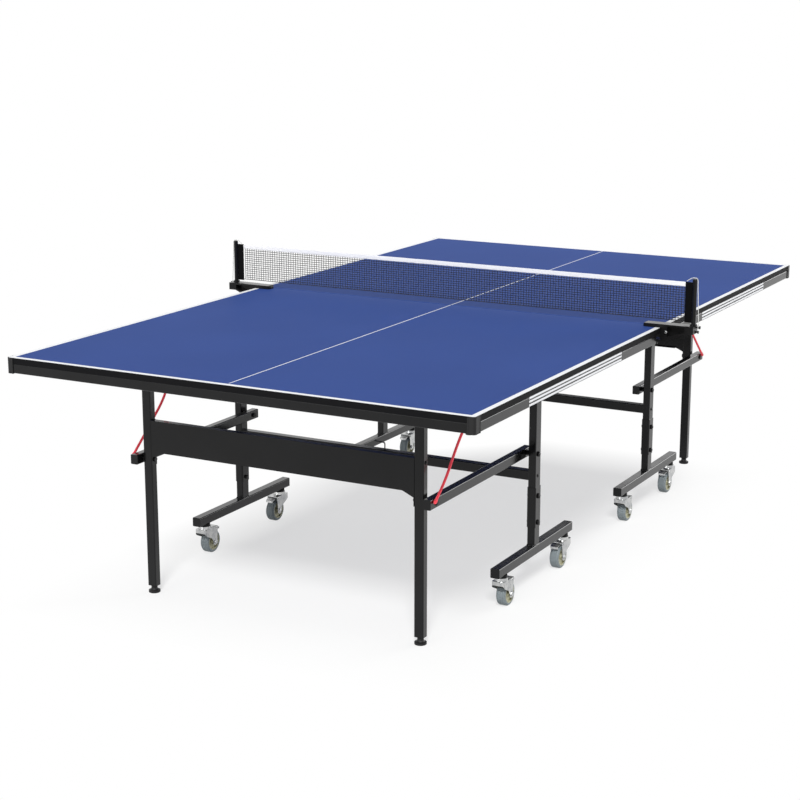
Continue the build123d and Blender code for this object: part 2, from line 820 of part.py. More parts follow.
def build_release_cord():
    """Left release cord, from a knot beside the strut's outer end up to the anchor."""
    lane = strut_outer_y + cord_end_gap + release_knot_radius
    guide_z = board_bottom - anchor_sheet - anchor_collar_height
    points = [
        (-leg_x + along, lane + out, strut_pivot_z + up) for along, out, up in release_route
    ]
    points += [
        (anchor_x - back, anchor_y - inward, guide_z - drop) for back, inward, drop in release_entry
    ]
    with BuildPart() as release_cord:
        with BuildLine() as route:
            cord_path(points)
        path = route.wire()
        with BuildSketch(Plane(origin=path @ 0, z_dir=path % 0)):
            Circle(release_cord_radius)
        sweep()
        # Knot below the lower end, beside the strut
        with BuildSketch(Plane(origin=path @ 0, z_dir=path % 0)):
            Circle(release_knot_radius)
        extrude(amount=-release_knot_length)
    print("release cord", round(path.length, 1), round(release_cord.part.volume, 1))
    return release_cord.part


def build_fork():
    """Caster fork with its swivel axis on Z and its wheel trailing towards positive X."""
    inner_half = hub_length / 2 + fork_side_gap
    outer_half = inner_half + fork_sheet
    crown_bottom = fork_crown_top - fork_sheet
    with BuildPart() as fork:
        with BuildSketch(Plane.XZ):
            with BuildLine():
                Line((-fork_front, fork_crown_top), (fork_rear, fork_crown_top))
                Line((fork_rear, fork_crown_top), (fork_rear, fork_crown_top - fork_rear_lip))
                Spline(
                    (fork_rear, fork_crown_top - fork_rear_lip),
                    (caster_trail + fork_boss_radius, axle_z),
                    tangents=fork_rear_flare,
                )
                ThreePointArc(
                    (caster_trail + fork_boss_radius, axle_z),
                    (caster_trail, axle_z - fork_boss_radius),
                    (caster_trail - fork_boss_radius, axle_z),
                )
                Spline(
                    (caster_trail - fork_boss_radius, axle_z),
                    (-fork_front, fork_crown_top - fork_front_lip),
                    tangents=fork_front_flare,
                )
                Line((-fork_front, fork_crown_top - fork_front_lip), (-fork_front, fork_crown_top))
            make_face()
        extrude(amount=outer_half, both=True)
        front_edges = fork.edges().filter_by(Axis.Z).group_by(Axis.X)[0]
        fillet(front_edges, fork_edge_radius)
        # Room for the wheel, behind a front skirt and under the crown
        with BuildSketch(Plane.XZ):
            with BuildLine():
                Polyline(
                    (-fork_front + fork_sheet, crown_bottom),
                    (-fork_front + fork_sheet, fork_crown_top - fork_rear_lip),
                    (-fork_front + 2 * fork_sheet, fork_skirt_z),
                    (-fork_front, fork_skirt_z),
                    (-fork_front, 0),
                    (2 * fork_rear, 0),
                    (2 * fork_rear, crown_bottom),
                    close=True,
                )
            make_face()
        extrude(amount=inner_half, both=True, mode=Mode.SUBTRACT)
        # Bearing cup on the crown, and the bore of the kingpin
        with BuildSketch(Plane.XY.offset(fork_crown_top)):
            Circle(bearing_radius)
        extrude(amount=bearing_top - fork_crown_top, taper=bearing_taper)
        with BuildSketch(Plane.XY.offset(crown_bottom)):
            Circle(swivel_pin_radius + running_clearance)
        extrude(amount=bearing_top, mode=Mode.SUBTRACT)
        bores = (
            (caster_trail, axle_z, axle_radius + running_clearance),
            (brake_pin_x, brake_pin_z, brake_pin_radius + running_clearance),
        )
        for x, z, radius in bores:
            pin_along_y(x, z, -outer_half, outer_half, radius, Mode.SUBTRACT)
    with BuildPart() as fork_pins:
        pin_along_y(caster_trail, axle_z, -outer_half, outer_half, axle_radius)
        nut_along_y(caster_trail, axle_z, -outer_half - nut_height, -outer_half, nut_across_flats)
        dome_along_y(caster_trail, axle_z, outer_half, bolt_head_height, bolt_head_radius)
        pin_along_y(brake_pin_x, brake_pin_z, -outer_half, outer_half, brake_pin_radius)
        for side in (-1, 1):
            pin_along_y(
                brake_pin_x,
                brake_pin_z,
                side * outer_half,
                side * (outer_half + rivet_height),
                brake_pin_radius + rivet_rim,
            )
    return gather(fork, fork_pins)


def build_wheel():
    """Wheel at the fork's axle: a moulded hub inside a grooved tyre."""
    hub_radius = wheel_diameter / 2 - tyre_depth
    half = wheel_width / 2
    hub_half = hub_length / 2
    wheel_radius = wheel_diameter / 2
    shoulder_cut = tyre_shoulder_share * tyre_shoulder
    with BuildPart() as tyre:
        with BuildSketch(Plane.YZ):
            with BuildLine():
                Polyline(
                    (-half, hub_radius + hub_slack),
                    (-half, wheel_radius - tyre_shoulder),
                )
                ThreePointArc(
                    (-half, wheel_radius - tyre_shoulder),
                    (-half + shoulder_cut, wheel_radius - shoulder_cut),
                    (-half + tyre_shoulder, wheel_radius),
                )
                Line((-half + tyre_shoulder, wheel_radius), (half - tyre_shoulder, wheel_radius))
                ThreePointArc(
                    (half - tyre_shoulder, wheel_radius),
                    (half - shoulder_cut, wheel_radius - shoulder_cut),
                    (half, wheel_radius - tyre_shoulder),
                )
                Polyline(
                    (half, wheel_radius - tyre_shoulder),
                    (half, hub_radius + hub_slack),
                    (-half, hub_radius + hub_slack),
                )
            make_face()
            with GridLocations(wheel_width / (tyre_groove_count + 1), 0, tyre_groove_count, 1):
                with Locations((0, wheel_radius)):
                    Rectangle(tyre_groove, 2 * tyre_groove, mode=Mode.SUBTRACT)
        revolve(axis=Axis.Y)
    with BuildPart() as hub:
        with BuildSketch(Plane.YZ):
            with BuildLine():
                Polyline(
                    (-hub_half, axle_radius + running_clearance),
                    (-hub_half, hub_boss_radius - hub_draft),
                    (-half + hub_recess, hub_boss_radius + hub_draft),
                    (-half + hub_recess, hub_radius - hub_rim - hub_draft),
                    (-half, hub_radius - hub_rim),
                    (-half, hub_radius),
                    (half, hub_radius),
                    (half, hub_radius - hub_rim),
                    (half - hub_recess, hub_radius - hub_rim - hub_draft),
                    (half - hub_recess, hub_boss_radius + hub_draft),
                    (hub_half, hub_boss_radius - hub_draft),
                    (hub_half, axle_radius + running_clearance),
                    close=True,
                )
            make_face()
        revolve(axis=Axis.Y)
    wheel = gather(tyre, hub)
    return wheel.moved(Location((caster_trail, 0, axle_z)))


def build_brake():
    """Brake pedal over the back of the wheel, hinged on the fork's brake pin."""
    tip_z = brake_pin_z + brake_boss_radius / 2 - brake_drop
    with BuildPart() as brake:
        with BuildSketch(Plane.XZ):
            with Locations((brake_pin_x, brake_pin_z)):
                Circle(brake_boss_radius)
            with BuildLine():
                Polyline(
                    (brake_pin_x, brake_pin_z + brake_boss_radius),
                    (brake_reach - brake_lip, tip_z + brake_thickness),
                    (brake_reach, tip_z),
                    (brake_reach, tip_z - brake_lip),
                    (brake_reach - brake_thickness, tip_z - brake_lip),
                    (brake_reach - brake_lip, tip_z),
                    (brake_pad_x + brake_thickness, tip_z),
                    (brake_pad_x, brake_pad_z),
                    (brake_pin_x, brake_pin_z - brake_boss_radius / 2),
                    close=True,
                )
            make_face()
            with Locations((brake_pin_x, brake_pin_z)):
                Circle(brake_pin_radius + running_clearance, mode=Mode.SUBTRACT)
        extrude(amount=brake_width / 2, both=True)
        tip_edges = brake.edges().filter_by(Axis.Z).group_by(Axis.X)[-1]
        fillet(tip_edges, brake_edge_round)
    return brake.part


def build_net():
    """Net with its white top tape, and the stiff pocket at each end that holds the post."""
    with BuildPart() as net:
        with BuildSketch(Plane.XZ):
            with Locations((net_x, net_bottom)):
                Rectangle(
                    net_thickness, net_top - tape_height - net_bottom, align=(Align.CENTER, Align.MIN)
                )
            with Locations((net_x, net_top)):
                Rectangle(tape_thickness, tape_height, align=(Align.CENTER, Align.MAX))
        extrude(amount=net_half_width, both=True)
    with BuildPart() as pockets:
        with BuildSketch(Plane.XZ.offset(-net_half_width)):
            with Locations((net_x, pocket_bottom)):
                RectangleRounded(
                    pocket_thickness,
                    net_top - pocket_bottom,
                    pocket_thickness / 3,
                    align=(Align.CENTER, Align.MIN),
                )
        extrude(amount=net_half_width - pocket_outer_y)
        mirror(about=Plane.XZ)
    return gather(net, pockets)


def build_net_clamp():
    """Left clamp: arm over the board, web beside it, jaw below it, and the net post."""
    web_y = side_y + clamp_edge_gap
    jaw_top = clamp_web_bottom + clamp_jaw_thickness
    arm_top = surface_height + clamp_arm_thickness
    post_lug = net_post_radius + clamp_lug_wall
    brace_top_y = net_post_y - post_lug - clamp_lug_wall
    brace_foot_y = net_post_y - post_lug - clamp_brace_run
    pocket_start_y = web_y + web_pocket_start
    pocket_end_y = net_post_y - post_lug - web_pocket_border
    with BuildPart() as clamp:
        # Side view of the clamp, across its inner width
        with BuildSketch(Plane.YZ.offset(clamp_x_low)):
            with BuildLine():
                Polyline(
                    (clamp_inner_y, surface_height),
                    (clamp_inner_y, arm_top - clamp_arm_thickness / 2),
                    (clamp_inner_y + clamp_arm_thickness / 2, arm_top),
                    (clamp_outer_y, arm_top),
                    (clamp_outer_y, net_post_bottom),
                    (brace_top_y, net_post_bottom),
                    (brace_foot_y, net_post_bottom - clamp_brace_drop),
                    (web_y + clamp_web_foot, clamp_web_bottom),
                    (clamp_jaw_inner_y, clamp_web_bottom),
                    (clamp_jaw_inner_y, jaw_top),
                    (web_y, jaw_top),
                    (web_y, surface_height),
                    close=True,
                )
            make_face()
        extrude(amount=clamp_x_high - clamp_x_low)
        # Nose of the arm, rounded in plan
        nose = clamp.edges().filter_by(Axis.Z).group_by(Axis.Y)[0]
        fillet(nose, clamp_nose_radius)
        # The web is wider than the arm outside the board
        with BuildSketch(Plane.YZ.offset(clamp_x_high)):
            with BuildLine():
                Polyline(
                    (web_y + clamp_web_lip, arm_top),
                    (clamp_outer_y, arm_top),
                    (clamp_outer_y, net_post_bottom),
                    (brace_top_y, net_post_bottom),
                    (brace_foot_y, net_post_bottom - clamp_brace_drop),
                    (web_y + clamp_web_foot, clamp_web_bottom),
                    (web_y + clamp_web_lip, clamp_web_bottom),
                    close=True,
                )
            make_face()
        extrude(amount=web_x_high - clamp_x_high)
        # Pocket that lightens the web from the outer side
        with BuildSketch(Plane.YZ.offset(clamp_x_low)):
            with BuildLine():
                Polyline(
                    (pocket_start_y, arm_top - web_pocket_border),
                    (pocket_end_y, arm_top - web_pocket_border),
                    (pocket_end_y, net_post_bottom + web_pocket_floor[1]),
                    (pocket_start_y, net_post_bottom - web_pocket_floor[0]),
                    close=True,
                )
            make_face()
        extrude(amount=(web_x_high - clamp_x_low) / 2, mode=Mode.SUBTRACT)
        with BuildSketch(Plane.YZ.offset(clamp_x_low)):
            with Locations((web_hole_y, web_hole_z)):
                Circle(web_hole_radius)
        extrude(amount=web_x_high - clamp_x_low, mode=Mode.SUBTRACT)
        # Threaded hole of the clamp screw, and the socket of the post
        with BuildSketch(Plane.XY.offset(clamp_web_bottom)):
            with Locations((clamp_screw_x, clamp_screw_y)):
                Circle(clamp_screw_radius + running_clearance)
        extrude(amount=clamp_jaw_thickness, mode=Mode.SUBTRACT)
        with BuildSketch(Plane.XY.offset(net_post_bottom)):
            with Locations((net_post_x, net_post_y)):
                Circle(net_post_radius + running_clearance)
        extrude(amount=arm_top, mode=Mode.SUBTRACT)
        # Collar round the post
        with BuildSketch(Plane.XY.offset(arm_top)):
            with Locations((net_post_x, net_post_y)):
                Circle(post_lug)
                Circle(net_post_radius + running_clearance, mode=Mode.SUBTRACT)
        extrude(amount=clamp_collar_height)
        # Cleats for the tension cord, on the outer end
        for z, reach in zip(cleat_zs, cleat_reaches):
            pin_along_y(net_post_x, z, clamp_outer_y, clamp_outer_y + reach, cleat_neck_radius)
            pin_along_y(
                net_post_x,
                z,
                clamp_outer_y + reach - cleat_flange,
                clamp_outer_y + reach,
                cleat_radius,
            )
    with BuildPart() as post:
        with BuildSketch(Plane.XY.offset(net_post_bottom)):
            with Locations((net_post_x, net_post_y)):
                Circle(net_post_radius)
        extrude(amount=net_post_top - net_post_bottom)
        fillet(post.edges().group_by(Axis.Z)[-1], net_post_radius / 2)
    return gather(clamp, post)


def build_clamp_screw():
    """Left clamp screw: knurled knob, stud and pressure pad under the board."""
    knob_top = clamp_web_bottom - side_gap
    with BuildPart() as screw:
        with BuildSketch(Plane.XY.offset(knob_top)):
            with Locations((clamp_screw_x, clamp_screw_y)):
                Circle(clamp_knob_radius)
                with PolarLocations(clamp_knob_radius, clamp_knob_notches):
                    Circle(clamp_knob_notch, mode=Mode.SUBTRACT)
        extrude(amount=-clamp_knob_height)
        with BuildSketch(Plane.XY.offset(knob_top)):
            with Locations((clamp_screw_x, clamp_screw_y)):
                Circle(clamp_screw_radius)
        extrude(amount=board_bottom - clamp_pad_height - knob_top)
        with BuildSketch(Plane.XY.offset(board_bottom - running_clearance)):
            with Locations((clamp_screw_x, clamp_screw_y)):
                Circle(clamp_pad_radius)
        extrude(amount=-clamp_pad_height)
    return screw.part


def build_net_cord():
    """Tension cord: from the tape's end over each post, down to a turn round the upper cleat."""
    cleat_y = clamp_outer_y + cleat_reaches[0] - 2 * cleat_flange
    ring_radius = cleat_neck_radius + net_cord_ring_gap + net_cord_radius
    points = [(net_post_x, net_half_width + out, net_top + up) for out, up in net_cord_start]
    points += [(net_post_x, net_post_y + out, net_post_top + up) for out, up in net_cord_route]
    points += [(net_post_x, cleat_y, cleat_zs[0] + ring_radius)]
    with BuildPart() as net_cord:
        with BuildLine() as route:
            cord_path(points)
        path = route.wire()
        with BuildSketch(Plane(origin=path @ 0, z_dir=path % 0)):
            Circle(net_cord_radius)
        sweep()
    with BuildPart() as cleat_turn:
        with Locations(Location((net_post_x, cleat_y, cleat_zs[0]), (90, 0, 0))):
            Torus(ring_radius, net_cord_radius)
    print("net cord end", round(path.length, 1), round(net_cord.part.volume, 1))
    with BuildPart() as both_ends:
        add(net_cord.part)
        add(cleat_turn.part)
        mirror(about=Plane.XZ)
    return both_ends.part


write_both("top_panel", build_top_panel())
write_both("top_frame", build_top_frame())
write_both("corner_caps", build_corner_caps())
write_both("pivot_brackets", build_pivot_brackets())
write_both("posts", build_posts())
write_both("crossbar", build_crossbar())
write_both("base_beams", build_base_beams())
write_both("base_fasteners", build_base_fasteners())
write_both("legs", build_legs())
write_both("leg_plate", build_leg_plate())
write_both("struts", build_struts())

left_foot = build_foot()
write_both("left_foot", left_foot)
write_both("right_foot", mirror(left_foot, about=Plane.XZ))
left_cord = build_release_cord()
write_both("left_release_cord", left_cord)
write_both("right_release_cord", mirror(left_cord, about=Plane.XZ))

caster_pieces = {"fork": build_fork(), "wheel": build_wheel(), "brake": build_brake()}
for side_name, caster_y in (("left", post_y), ("right", -post_y)):
    for end_name, offset, turn in (("outer", -swivel_offset, 0), ("inner", swivel_offset, 180)):
        place = Location((-post_x + offset, caster_y, 0), (0, 0, turn))
        for piece_name, piece in caster_pieces.items():
            write_both(f"{side_name}_{end_name}_{piece_name}", piece.moved(place))

write("net", build_net())
left_clamp = build_net_clamp()
write("left_net_clamp", left_clamp)
write("right_net_clamp", mirror(left_clamp, about=Plane.XZ))
left_screw = build_clamp_screw()
write("left_clamp_screw", left_screw)
write("right_clamp_screw", mirror(left_screw, about=Plane.XZ))
write("net_cord", build_net_cord())
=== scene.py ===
# Folding table tennis table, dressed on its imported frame. X runs along the table, Z is up, metres.
# Change a piece in the dictionary above its functions; each stage prints a line.
import json
import math

import bpy
import numpy as np
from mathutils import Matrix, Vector


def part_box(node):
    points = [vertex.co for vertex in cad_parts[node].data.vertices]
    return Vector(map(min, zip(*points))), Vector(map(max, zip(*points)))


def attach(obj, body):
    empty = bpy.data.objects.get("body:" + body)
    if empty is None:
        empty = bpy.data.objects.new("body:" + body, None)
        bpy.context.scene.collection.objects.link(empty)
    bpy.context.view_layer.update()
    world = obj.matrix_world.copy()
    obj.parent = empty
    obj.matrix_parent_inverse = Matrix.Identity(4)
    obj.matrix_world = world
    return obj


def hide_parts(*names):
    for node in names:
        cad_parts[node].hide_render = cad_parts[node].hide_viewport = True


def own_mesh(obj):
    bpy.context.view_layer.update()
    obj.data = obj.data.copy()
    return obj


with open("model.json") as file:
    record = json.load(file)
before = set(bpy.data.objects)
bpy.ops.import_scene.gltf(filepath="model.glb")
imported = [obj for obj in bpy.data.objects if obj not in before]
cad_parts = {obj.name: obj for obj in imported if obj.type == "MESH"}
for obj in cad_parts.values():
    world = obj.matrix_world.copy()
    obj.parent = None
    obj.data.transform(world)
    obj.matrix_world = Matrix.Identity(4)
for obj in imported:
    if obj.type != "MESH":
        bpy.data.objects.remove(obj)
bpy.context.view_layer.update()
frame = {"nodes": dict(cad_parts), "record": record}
scene = bpy.context.scene
scene.view_settings.view_transform = "Standard"
halves = (("near", 1), ("far", -1))
sides = (("left", 1), ("right", -1))
print("frame loaded:", len(frame["nodes"]), "nodes")


class Wire:
    # one socket of a node tree: + - * add Math nodes, node() adds any other
    def __init__(self, tree, socket=None):
        self.tree = tree
        self.socket = socket

    def node(self, kind, settings=None, sockets=None, out=0):
        new = self.tree.nodes.new(kind)
        for key, value in (settings or {}).items():
            setattr(new, key, value)
        for key, value in (sockets or {}).items():
            if isinstance(value, Wire):
                self.tree.links.new(value.socket, new.inputs[key])
            else:
                new.inputs[key].default_value = value
        return Wire(self.tree, new.outputs[out])

    def maths(self, operation, first, second=0.0):
        return self.node("ShaderNodeMath", {"operation": operation}, {0: first, 1: second})

    def __add__(self, other):
        return self.maths("ADD", self, other)

    __radd__ = __add__

    def __sub__(self, other):
        return self.maths("SUBTRACT", self, other)

    def __rsub__(self, other):
        return self.maths("SUBTRACT", other, self)

    def __mul__(self, other):
        return self.maths("MULTIPLY", self, other)

    __rmul__ = __mul__

    def wave(self, turnsPerUnit):
        # sine of the value, with so many full turns for each unit of it
        return self.maths("SINE", self * (2 * math.pi * turnsPerUnit))

    def larger(self, other):
        return self.maths("MAXIMUM", self, other)

    def size(self):
        return self.maths("ABSOLUTE", self)

    def noise(self, scale, detail=2.0, rough=0.5):
        sockets = {"Vector": self, "Scale": scale, "Detail": detail, "Roughness": rough}
        return self.node("ShaderNodeTexNoise", {}, sockets)

    def stretch(self, scale):
        return self.node("ShaderNodeMapping", {}, {"Vector": self, "Scale": scale})

    def spread(self, low, high, start=0.3, stop=0.7):
        # the value from start..stop put onto low..high
        return self.node("ShaderNodeMapRange", {}, {0: self, 1: start, 2: stop, 3: low, 4: high})

    def blend(self, first, second):
        # first colour where the value is 0, second where it is 1
        sockets = {0: self, 6: colour(first), 7: colour(second)}
        return self.node("ShaderNodeMix", {"data_type": "RGBA"}, sockets, out=2)

    def parts(self):
        return [self.node("ShaderNodeSeparateXYZ", {}, {0: self}, out=axis) for axis in range(3)]

    def bump(self, depth, strength=1.0):
        return self.node("ShaderNodeBump", {}, {"Height": self, "Distance": depth, "Strength": strength})


def colour(value):
    # a three-number tone gets its alpha, anything else stays as it is
    return (*value, 1.0) if isinstance(value, tuple) and len(value) == 3 else value


def times(tone, factor):
    return tuple(factor * x for x in tone)


def seenRays(wires):
    # 1 for a ray that shows the surface itself, 0 for a ray that only gathers its light
    slots = ("Is Camera Ray", "Is Glossy Ray", "Is Transmission Ray")
    rays = [wires.node("ShaderNodeLightPath", out=slot) for slot in slots]
    return rays[0].larger(rays[1]).larger(rays[2])


def newFinish(name, **fixed):
    # a Principled material with fixed socket values; returns it, Object coordinates, UV and a feed
    finish = bpy.data.materials.new(name)
    finish.use_nodes = True
    tree = finish.node_tree
    shader = tree.nodes["Principled BSDF"]
    for key, value in fixed.items():
        shader.inputs[key.replace("_", " ")].default_value = colour(value)

    def feed(**wires):
        for key, wire in wires.items():
            tree.links.new(wire.socket, shader.inputs[key.replace("_", " ")])

    place = Wire(tree).node("ShaderNodeTexCoord", out=3)
    chart = Wire(tree).node("ShaderNodeTexCoord", out=2)
    return finish, place, chart, feed


# camera, lamps and floor
cameraFit = {"place": (-5.3458, -2.7024, 1.8659), "yaw": 0.4969, "pitch": -0.2355, "lens": 80.86,
             "sensor": 36.0, "reach": 1000.0}
lamps = {
    "key": {"from": (-0.90, -0.436, 0.977), "strength": 2.85, "angle": 0.24},
    "side": {"from": (0.85, -0.50, 0.08), "strength": 2.2, "angle": 0.70},
    "fill": {"from": (-1.0, 0.30, 0.10), "strength": 1.1, "angle": 0.60},
}
studio = {"ambient": 0.40, "floorSize": 240.0, "floorTone": (0.60, 0.60, 0.60),
          "floorSeen": (0.365, 0.365, 0.359)}
# glow lifts the seen floor evenly; the box, corner and fade set where painted white covers shadow beyond the
# table
shade = {"glow": 0.60, "centreX": -0.15, "reachX": 0.95, "reachY": 0.45, "corner": 0.95, "fade": 0.36}


def placeCamera():
    data = bpy.data.cameras.new("camera")
    data.lens = cameraFit["lens"]
    data.sensor_width = cameraFit["sensor"]
    data.clip_end = cameraFit["reach"]
    camera = bpy.data.objects.new("camera", data)
    scene.collection.objects.link(camera)
    camera.location = cameraFit["place"]
    level = math.cos(cameraFit["pitch"])
    lookAlong = Vector((
        level * math.cos(cameraFit["yaw"]),
        level * math.sin(cameraFit["yaw"]),
        math.sin(cameraFit["pitch"]),
    ))
    camera.rotation_euler = lookAlong.to_track_quat("-Z", "Y").to_euler()
    scene.camera = camera


def hangLamp(name, lamp):
    data = bpy.data.lights.new(name, "SUN")
    data.energy = lamp["strength"]
    data.angle = lamp["angle"]
    holder = bpy.data.objects.new(name, data)
    scene.collection.objects.link(holder)
    holder.rotation_euler = (-Vector(lamp["from"])).to_track_quat("-Z", "Y").to_euler()


def makeSky():
    # white where it is seen, dimmer as a source of light
    world = bpy.data.worlds.new("studio")
    scene.world = world
    world.use_nodes = True
    strength = seenRays(Wire(world.node_tree)) * (1 - studio["ambient"]) + studio["ambient"]
    background = world.node_tree.nodes["Background"]
    world.node_tree.links.new(strength.socket, background.inputs["Strength"])
    background.inputs["Color"].default_value = (1, 1, 1, 1)


def floorFinish():
    # under the table the floor keeps its shade, lifted by an even glow; a little way beyond it a painted
    # white, emission with no shade, covers any shadow
    finish = bpy.data.materials.new("studio_floor")
    finish.use_nodes = True
    tree = finish.node_tree
    tree.nodes.remove(tree.nodes["Principled BSDF"])
    wires = Wire(tree)
    seen = seenRays(wires)
    darkCoat = wires.node("ShaderNodeBsdfDiffuse", {}, {"Color": colour(studio["floorTone"])})
    paleCoat = wires.node("ShaderNodeBsdfDiffuse", {}, {"Color": colour(studio["floorSeen"])})
    x, y = wires.node("ShaderNodeTexCoord", out=3).parts()[:2]
    paintedWhiteReach = ((x - shade["centreX"]).size() - shade["reachX"]).larger(y.size() - shade["reachY"])
    paintedWhiteReach = paintedWhiteReach.larger(x + y - shade["corner"])
    glow = wires.node("ShaderNodeEmission", {}, {"Strength": shade["glow"]})
    white = wires.node("ShaderNodeEmission", {}, {"Strength": 1.0})
    shaded = wires.node("ShaderNodeAddShader", {}, {0: paleCoat, 1: glow})
    # painted white: 0 inside the box, 1 a fade's width beyond it, where emission covers any shadow
    clear = paintedWhiteReach.spread(0.0, 1.0, 0.0, shade["fade"])
    shadedOrPaintedWhite = wires.node("ShaderNodeMixShader", {}, {0: clear, 1: shaded, 2: white})
    laid = wires.node("ShaderNodeMixShader", {}, {0: seen, 1: darkCoat, 2: shadedOrPaintedWhite})
    tree.links.new(laid.socket, tree.nodes["Material Output"].inputs["Surface"])
    return finish


def layFloor():
    mesh = bpy.data.meshes.new("floor")
    reach = studio["floorSize"] / 2
    corners = [(-reach, -reach, 0), (reach, -reach, 0), (reach, reach, 0), (-reach, reach, 0)]
    mesh.from_pydata(corners, [], [(0, 1, 2, 3)])
    floor = bpy.data.objects.new("floor", mesh)
    scene.collection.objects.link(floor)
    mesh.materials.append(floorFinish())


placeCamera()
for name, lamp in lamps.items():
    hangLamp(name, lamp)
makeSky()
layFloor()
print("camera, three lamps and floor placed")


# finishes; tones are linear red, green and blue
tones = {
    "boardBlue": (0.031, 0.065, 0.236),
    "boardUnder": (0.018, 0.036, 0.155),
    "boardEdge": (0.004, 0.004, 0.0045),
    "lineWhite": (0.80, 0.81, 0.83),
    "powder": (0.0045, 0.0045, 0.0048),
    "moulded": (0.005, 0.005, 0.0053),
    "enamel": (0.006, 0.006, 0.0063),
    "oxide": (0.004, 0.004, 0.0042),
    "zinc": (0.60, 0.60, 0.59),
    "zincDull": (0.36, 0.37, 0.38),
    "tread": (0.176, 0.209, 0.221),
    "treadWorn": (0.218, 0.248, 0.260),
    "hub": (0.42, 0.41, 0.27),
    "cordRed": (0.98, 0.085, 0.115),
    "cordDark": (0.80, 0.045, 0.065),
    "cordWhite": (0.72, 0.72, 0.70),
    "yarn": (0.012, 0.013, 0.016),
    "canvas": (0.84, 0.84, 0.85),
    "nylon": (0.0035, 0.0035, 0.0040),
}
boardLook = {"gloss": 0.02, "drift": 2.5, "grain": 900.0, "shades": (0.96, 1.04), "rough": (0.50, 0.58),
             "depth": 0.00004}
underLook = {"rough": 0.6, "gloss": 0.2, "fibres": 120.0, "drawn": (1.0, 6.0, 1.0), "shades": (0.8, 1.3),
             "depth": 0.00010}
edgeLook = {"rough": 0.65, "gloss": 0.06, "grain": 500.0, "pale": 1.8, "depth": 0.00008}
lineLook = {"gloss": 0.2, "grain": 700.0, "drift": 9.0, "dark": 0.95, "rough": (0.40, 0.52), "depth": 0.00005}


def boardFinish():
    # lacquer: slow drift of tone, roller texture in the coat
    look, blue = boardLook, tones["boardBlue"]
    finish, place, chart, feed = newFinish("board_lacquer", Specular_IOR_Level=look["gloss"])
    drift = place.noise(look["drift"], 3.0)
    grain = place.noise(look["grain"], 2.0)
    tone = drift.spread(0.0, 1.0).blend(times(blue, look["shades"][0]), times(blue, look["shades"][1]))
    feed(Base_Color=tone, Roughness=grain.spread(*look["rough"]), Normal=grain.bump(look["depth"], 0.5))
    return finish


def underFinish():
    # thin paint over fibreboard
    look, blue = underLook, tones["boardUnder"]
    finish, place, chart, feed = newFinish(
        "board_underside", Roughness=look["rough"], Specular_IOR_Level=look["gloss"])
    fibres = place.stretch(look["drawn"]).noise(look["fibres"], 4.0)
    tone = fibres.spread(0.0, 1.0).blend(times(blue, look["shades"][0]), times(blue, look["shades"][1]))
    feed(Base_Color=tone, Normal=fibres.bump(look["depth"], 0.6))
    return finish


def edgeFinish():
    look = edgeLook
    finish, place, chart, feed = newFinish(
        "board_edge", Roughness=look["rough"], Specular_IOR_Level=look["gloss"])
    grain = place.noise(look["grain"], 3.0)
    tone = grain.spread(0.0, 1.0).blend(tones["boardEdge"], times(tones["boardEdge"], look["pale"]))
    feed(Base_Color=tone, Normal=grain.bump(look["depth"], 0.5))
    return finish


def lineFinish():
    look, white = lineLook, tones["lineWhite"]
    finish, place, chart, feed = newFinish("line_paint", Roughness=0.45, Specular_IOR_Level=look["gloss"])
    grain = place.noise(look["grain"], 2.0)
    tone = place.noise(look["drift"], 3.0).spread(0.0, 1.0).blend(white, times(white, look["dark"]))
    feed(Base_Color=tone, Roughness=grain.spread(*look["rough"]), Normal=grain.bump(look["depth"], 0.4))
    return finish


coats = {
    "powder_coat": {"tone": "powder", "rough": 0.15, "gloss": 1.0, "facing": 0.22,
                    "pebbles": 420.0, "depth": 0.00003},
    "moulded_black": {"tone": "moulded", "rough": 0.50, "gloss": 0.30, "facing": 1.0,
                      "pebbles": 800.0, "depth": 0.00008},
    "clamp_enamel": {"tone": "enamel", "rough": 0.18, "gloss": 1.0, "facing": 0.12,
                     "pebbles": 600.0, "depth": 0.00002},
    "post_enamel": {"tone": "enamel", "rough": 0.09, "gloss": 1.0, "facing": 0.16,
                    "pebbles": 500.0, "depth": 0.00001},
    "black_oxide": {"tone": "oxide", "rough": 0.42, "gloss": 0.14, "facing": 1.0,
                    "pebbles": 300.0, "depth": 0.00005},
}
coatWear = {"patches": 7.0, "pale": 1.5, "smoother": 0.05, "rougher": 0.07}


def coatFinish(name):
    # sprayed or moulded black: pebbled skin, patches a shade lighter where hands and dust reach;
    # facing dims the reflection seen square on and leaves the one seen along the surface
    look, wear = coats[name], coatWear
    black, rough = tones[look["tone"]], look["rough"]
    finish, place, chart, feed = newFinish(
        name, Specular_IOR_Level=look["gloss"], Specular_Tint=(look["facing"],) * 3)
    pebbles = place.noise(look["pebbles"], 2.0, 0.6)
    patches = place.noise(wear["patches"], 4.0, 0.6)
    tone = patches.spread(0.0, 1.0, 0.35, 0.75).blend(black, times(black, wear["pale"]))
    worn = patches.spread(rough - wear["smoother"], rough + wear["rougher"]) + pebbles * 0.04
    feed(Base_Color=tone, Roughness=worn, Normal=pebbles.bump(look["depth"], 0.7))
    return finish


zincLook = {"clouds": 60.0, "lines": 420.0, "drawn": (1.0, 1.0, 8.0), "depth": 0.00003}
zincRough = {"zinc_plate": (0.14, 0.30), "dull_zinc": (0.40, 0.52)}
treadLook = {"gloss": 0.35, "dust": 85.0, "grain": 900.0, "rough": (0.50, 0.68), "depth": 0.00006}
hubLook = {"gloss": 0.45, "flow": 70.0, "dark": 0.82, "rough": (0.36, 0.46), "depth": 0.00010}


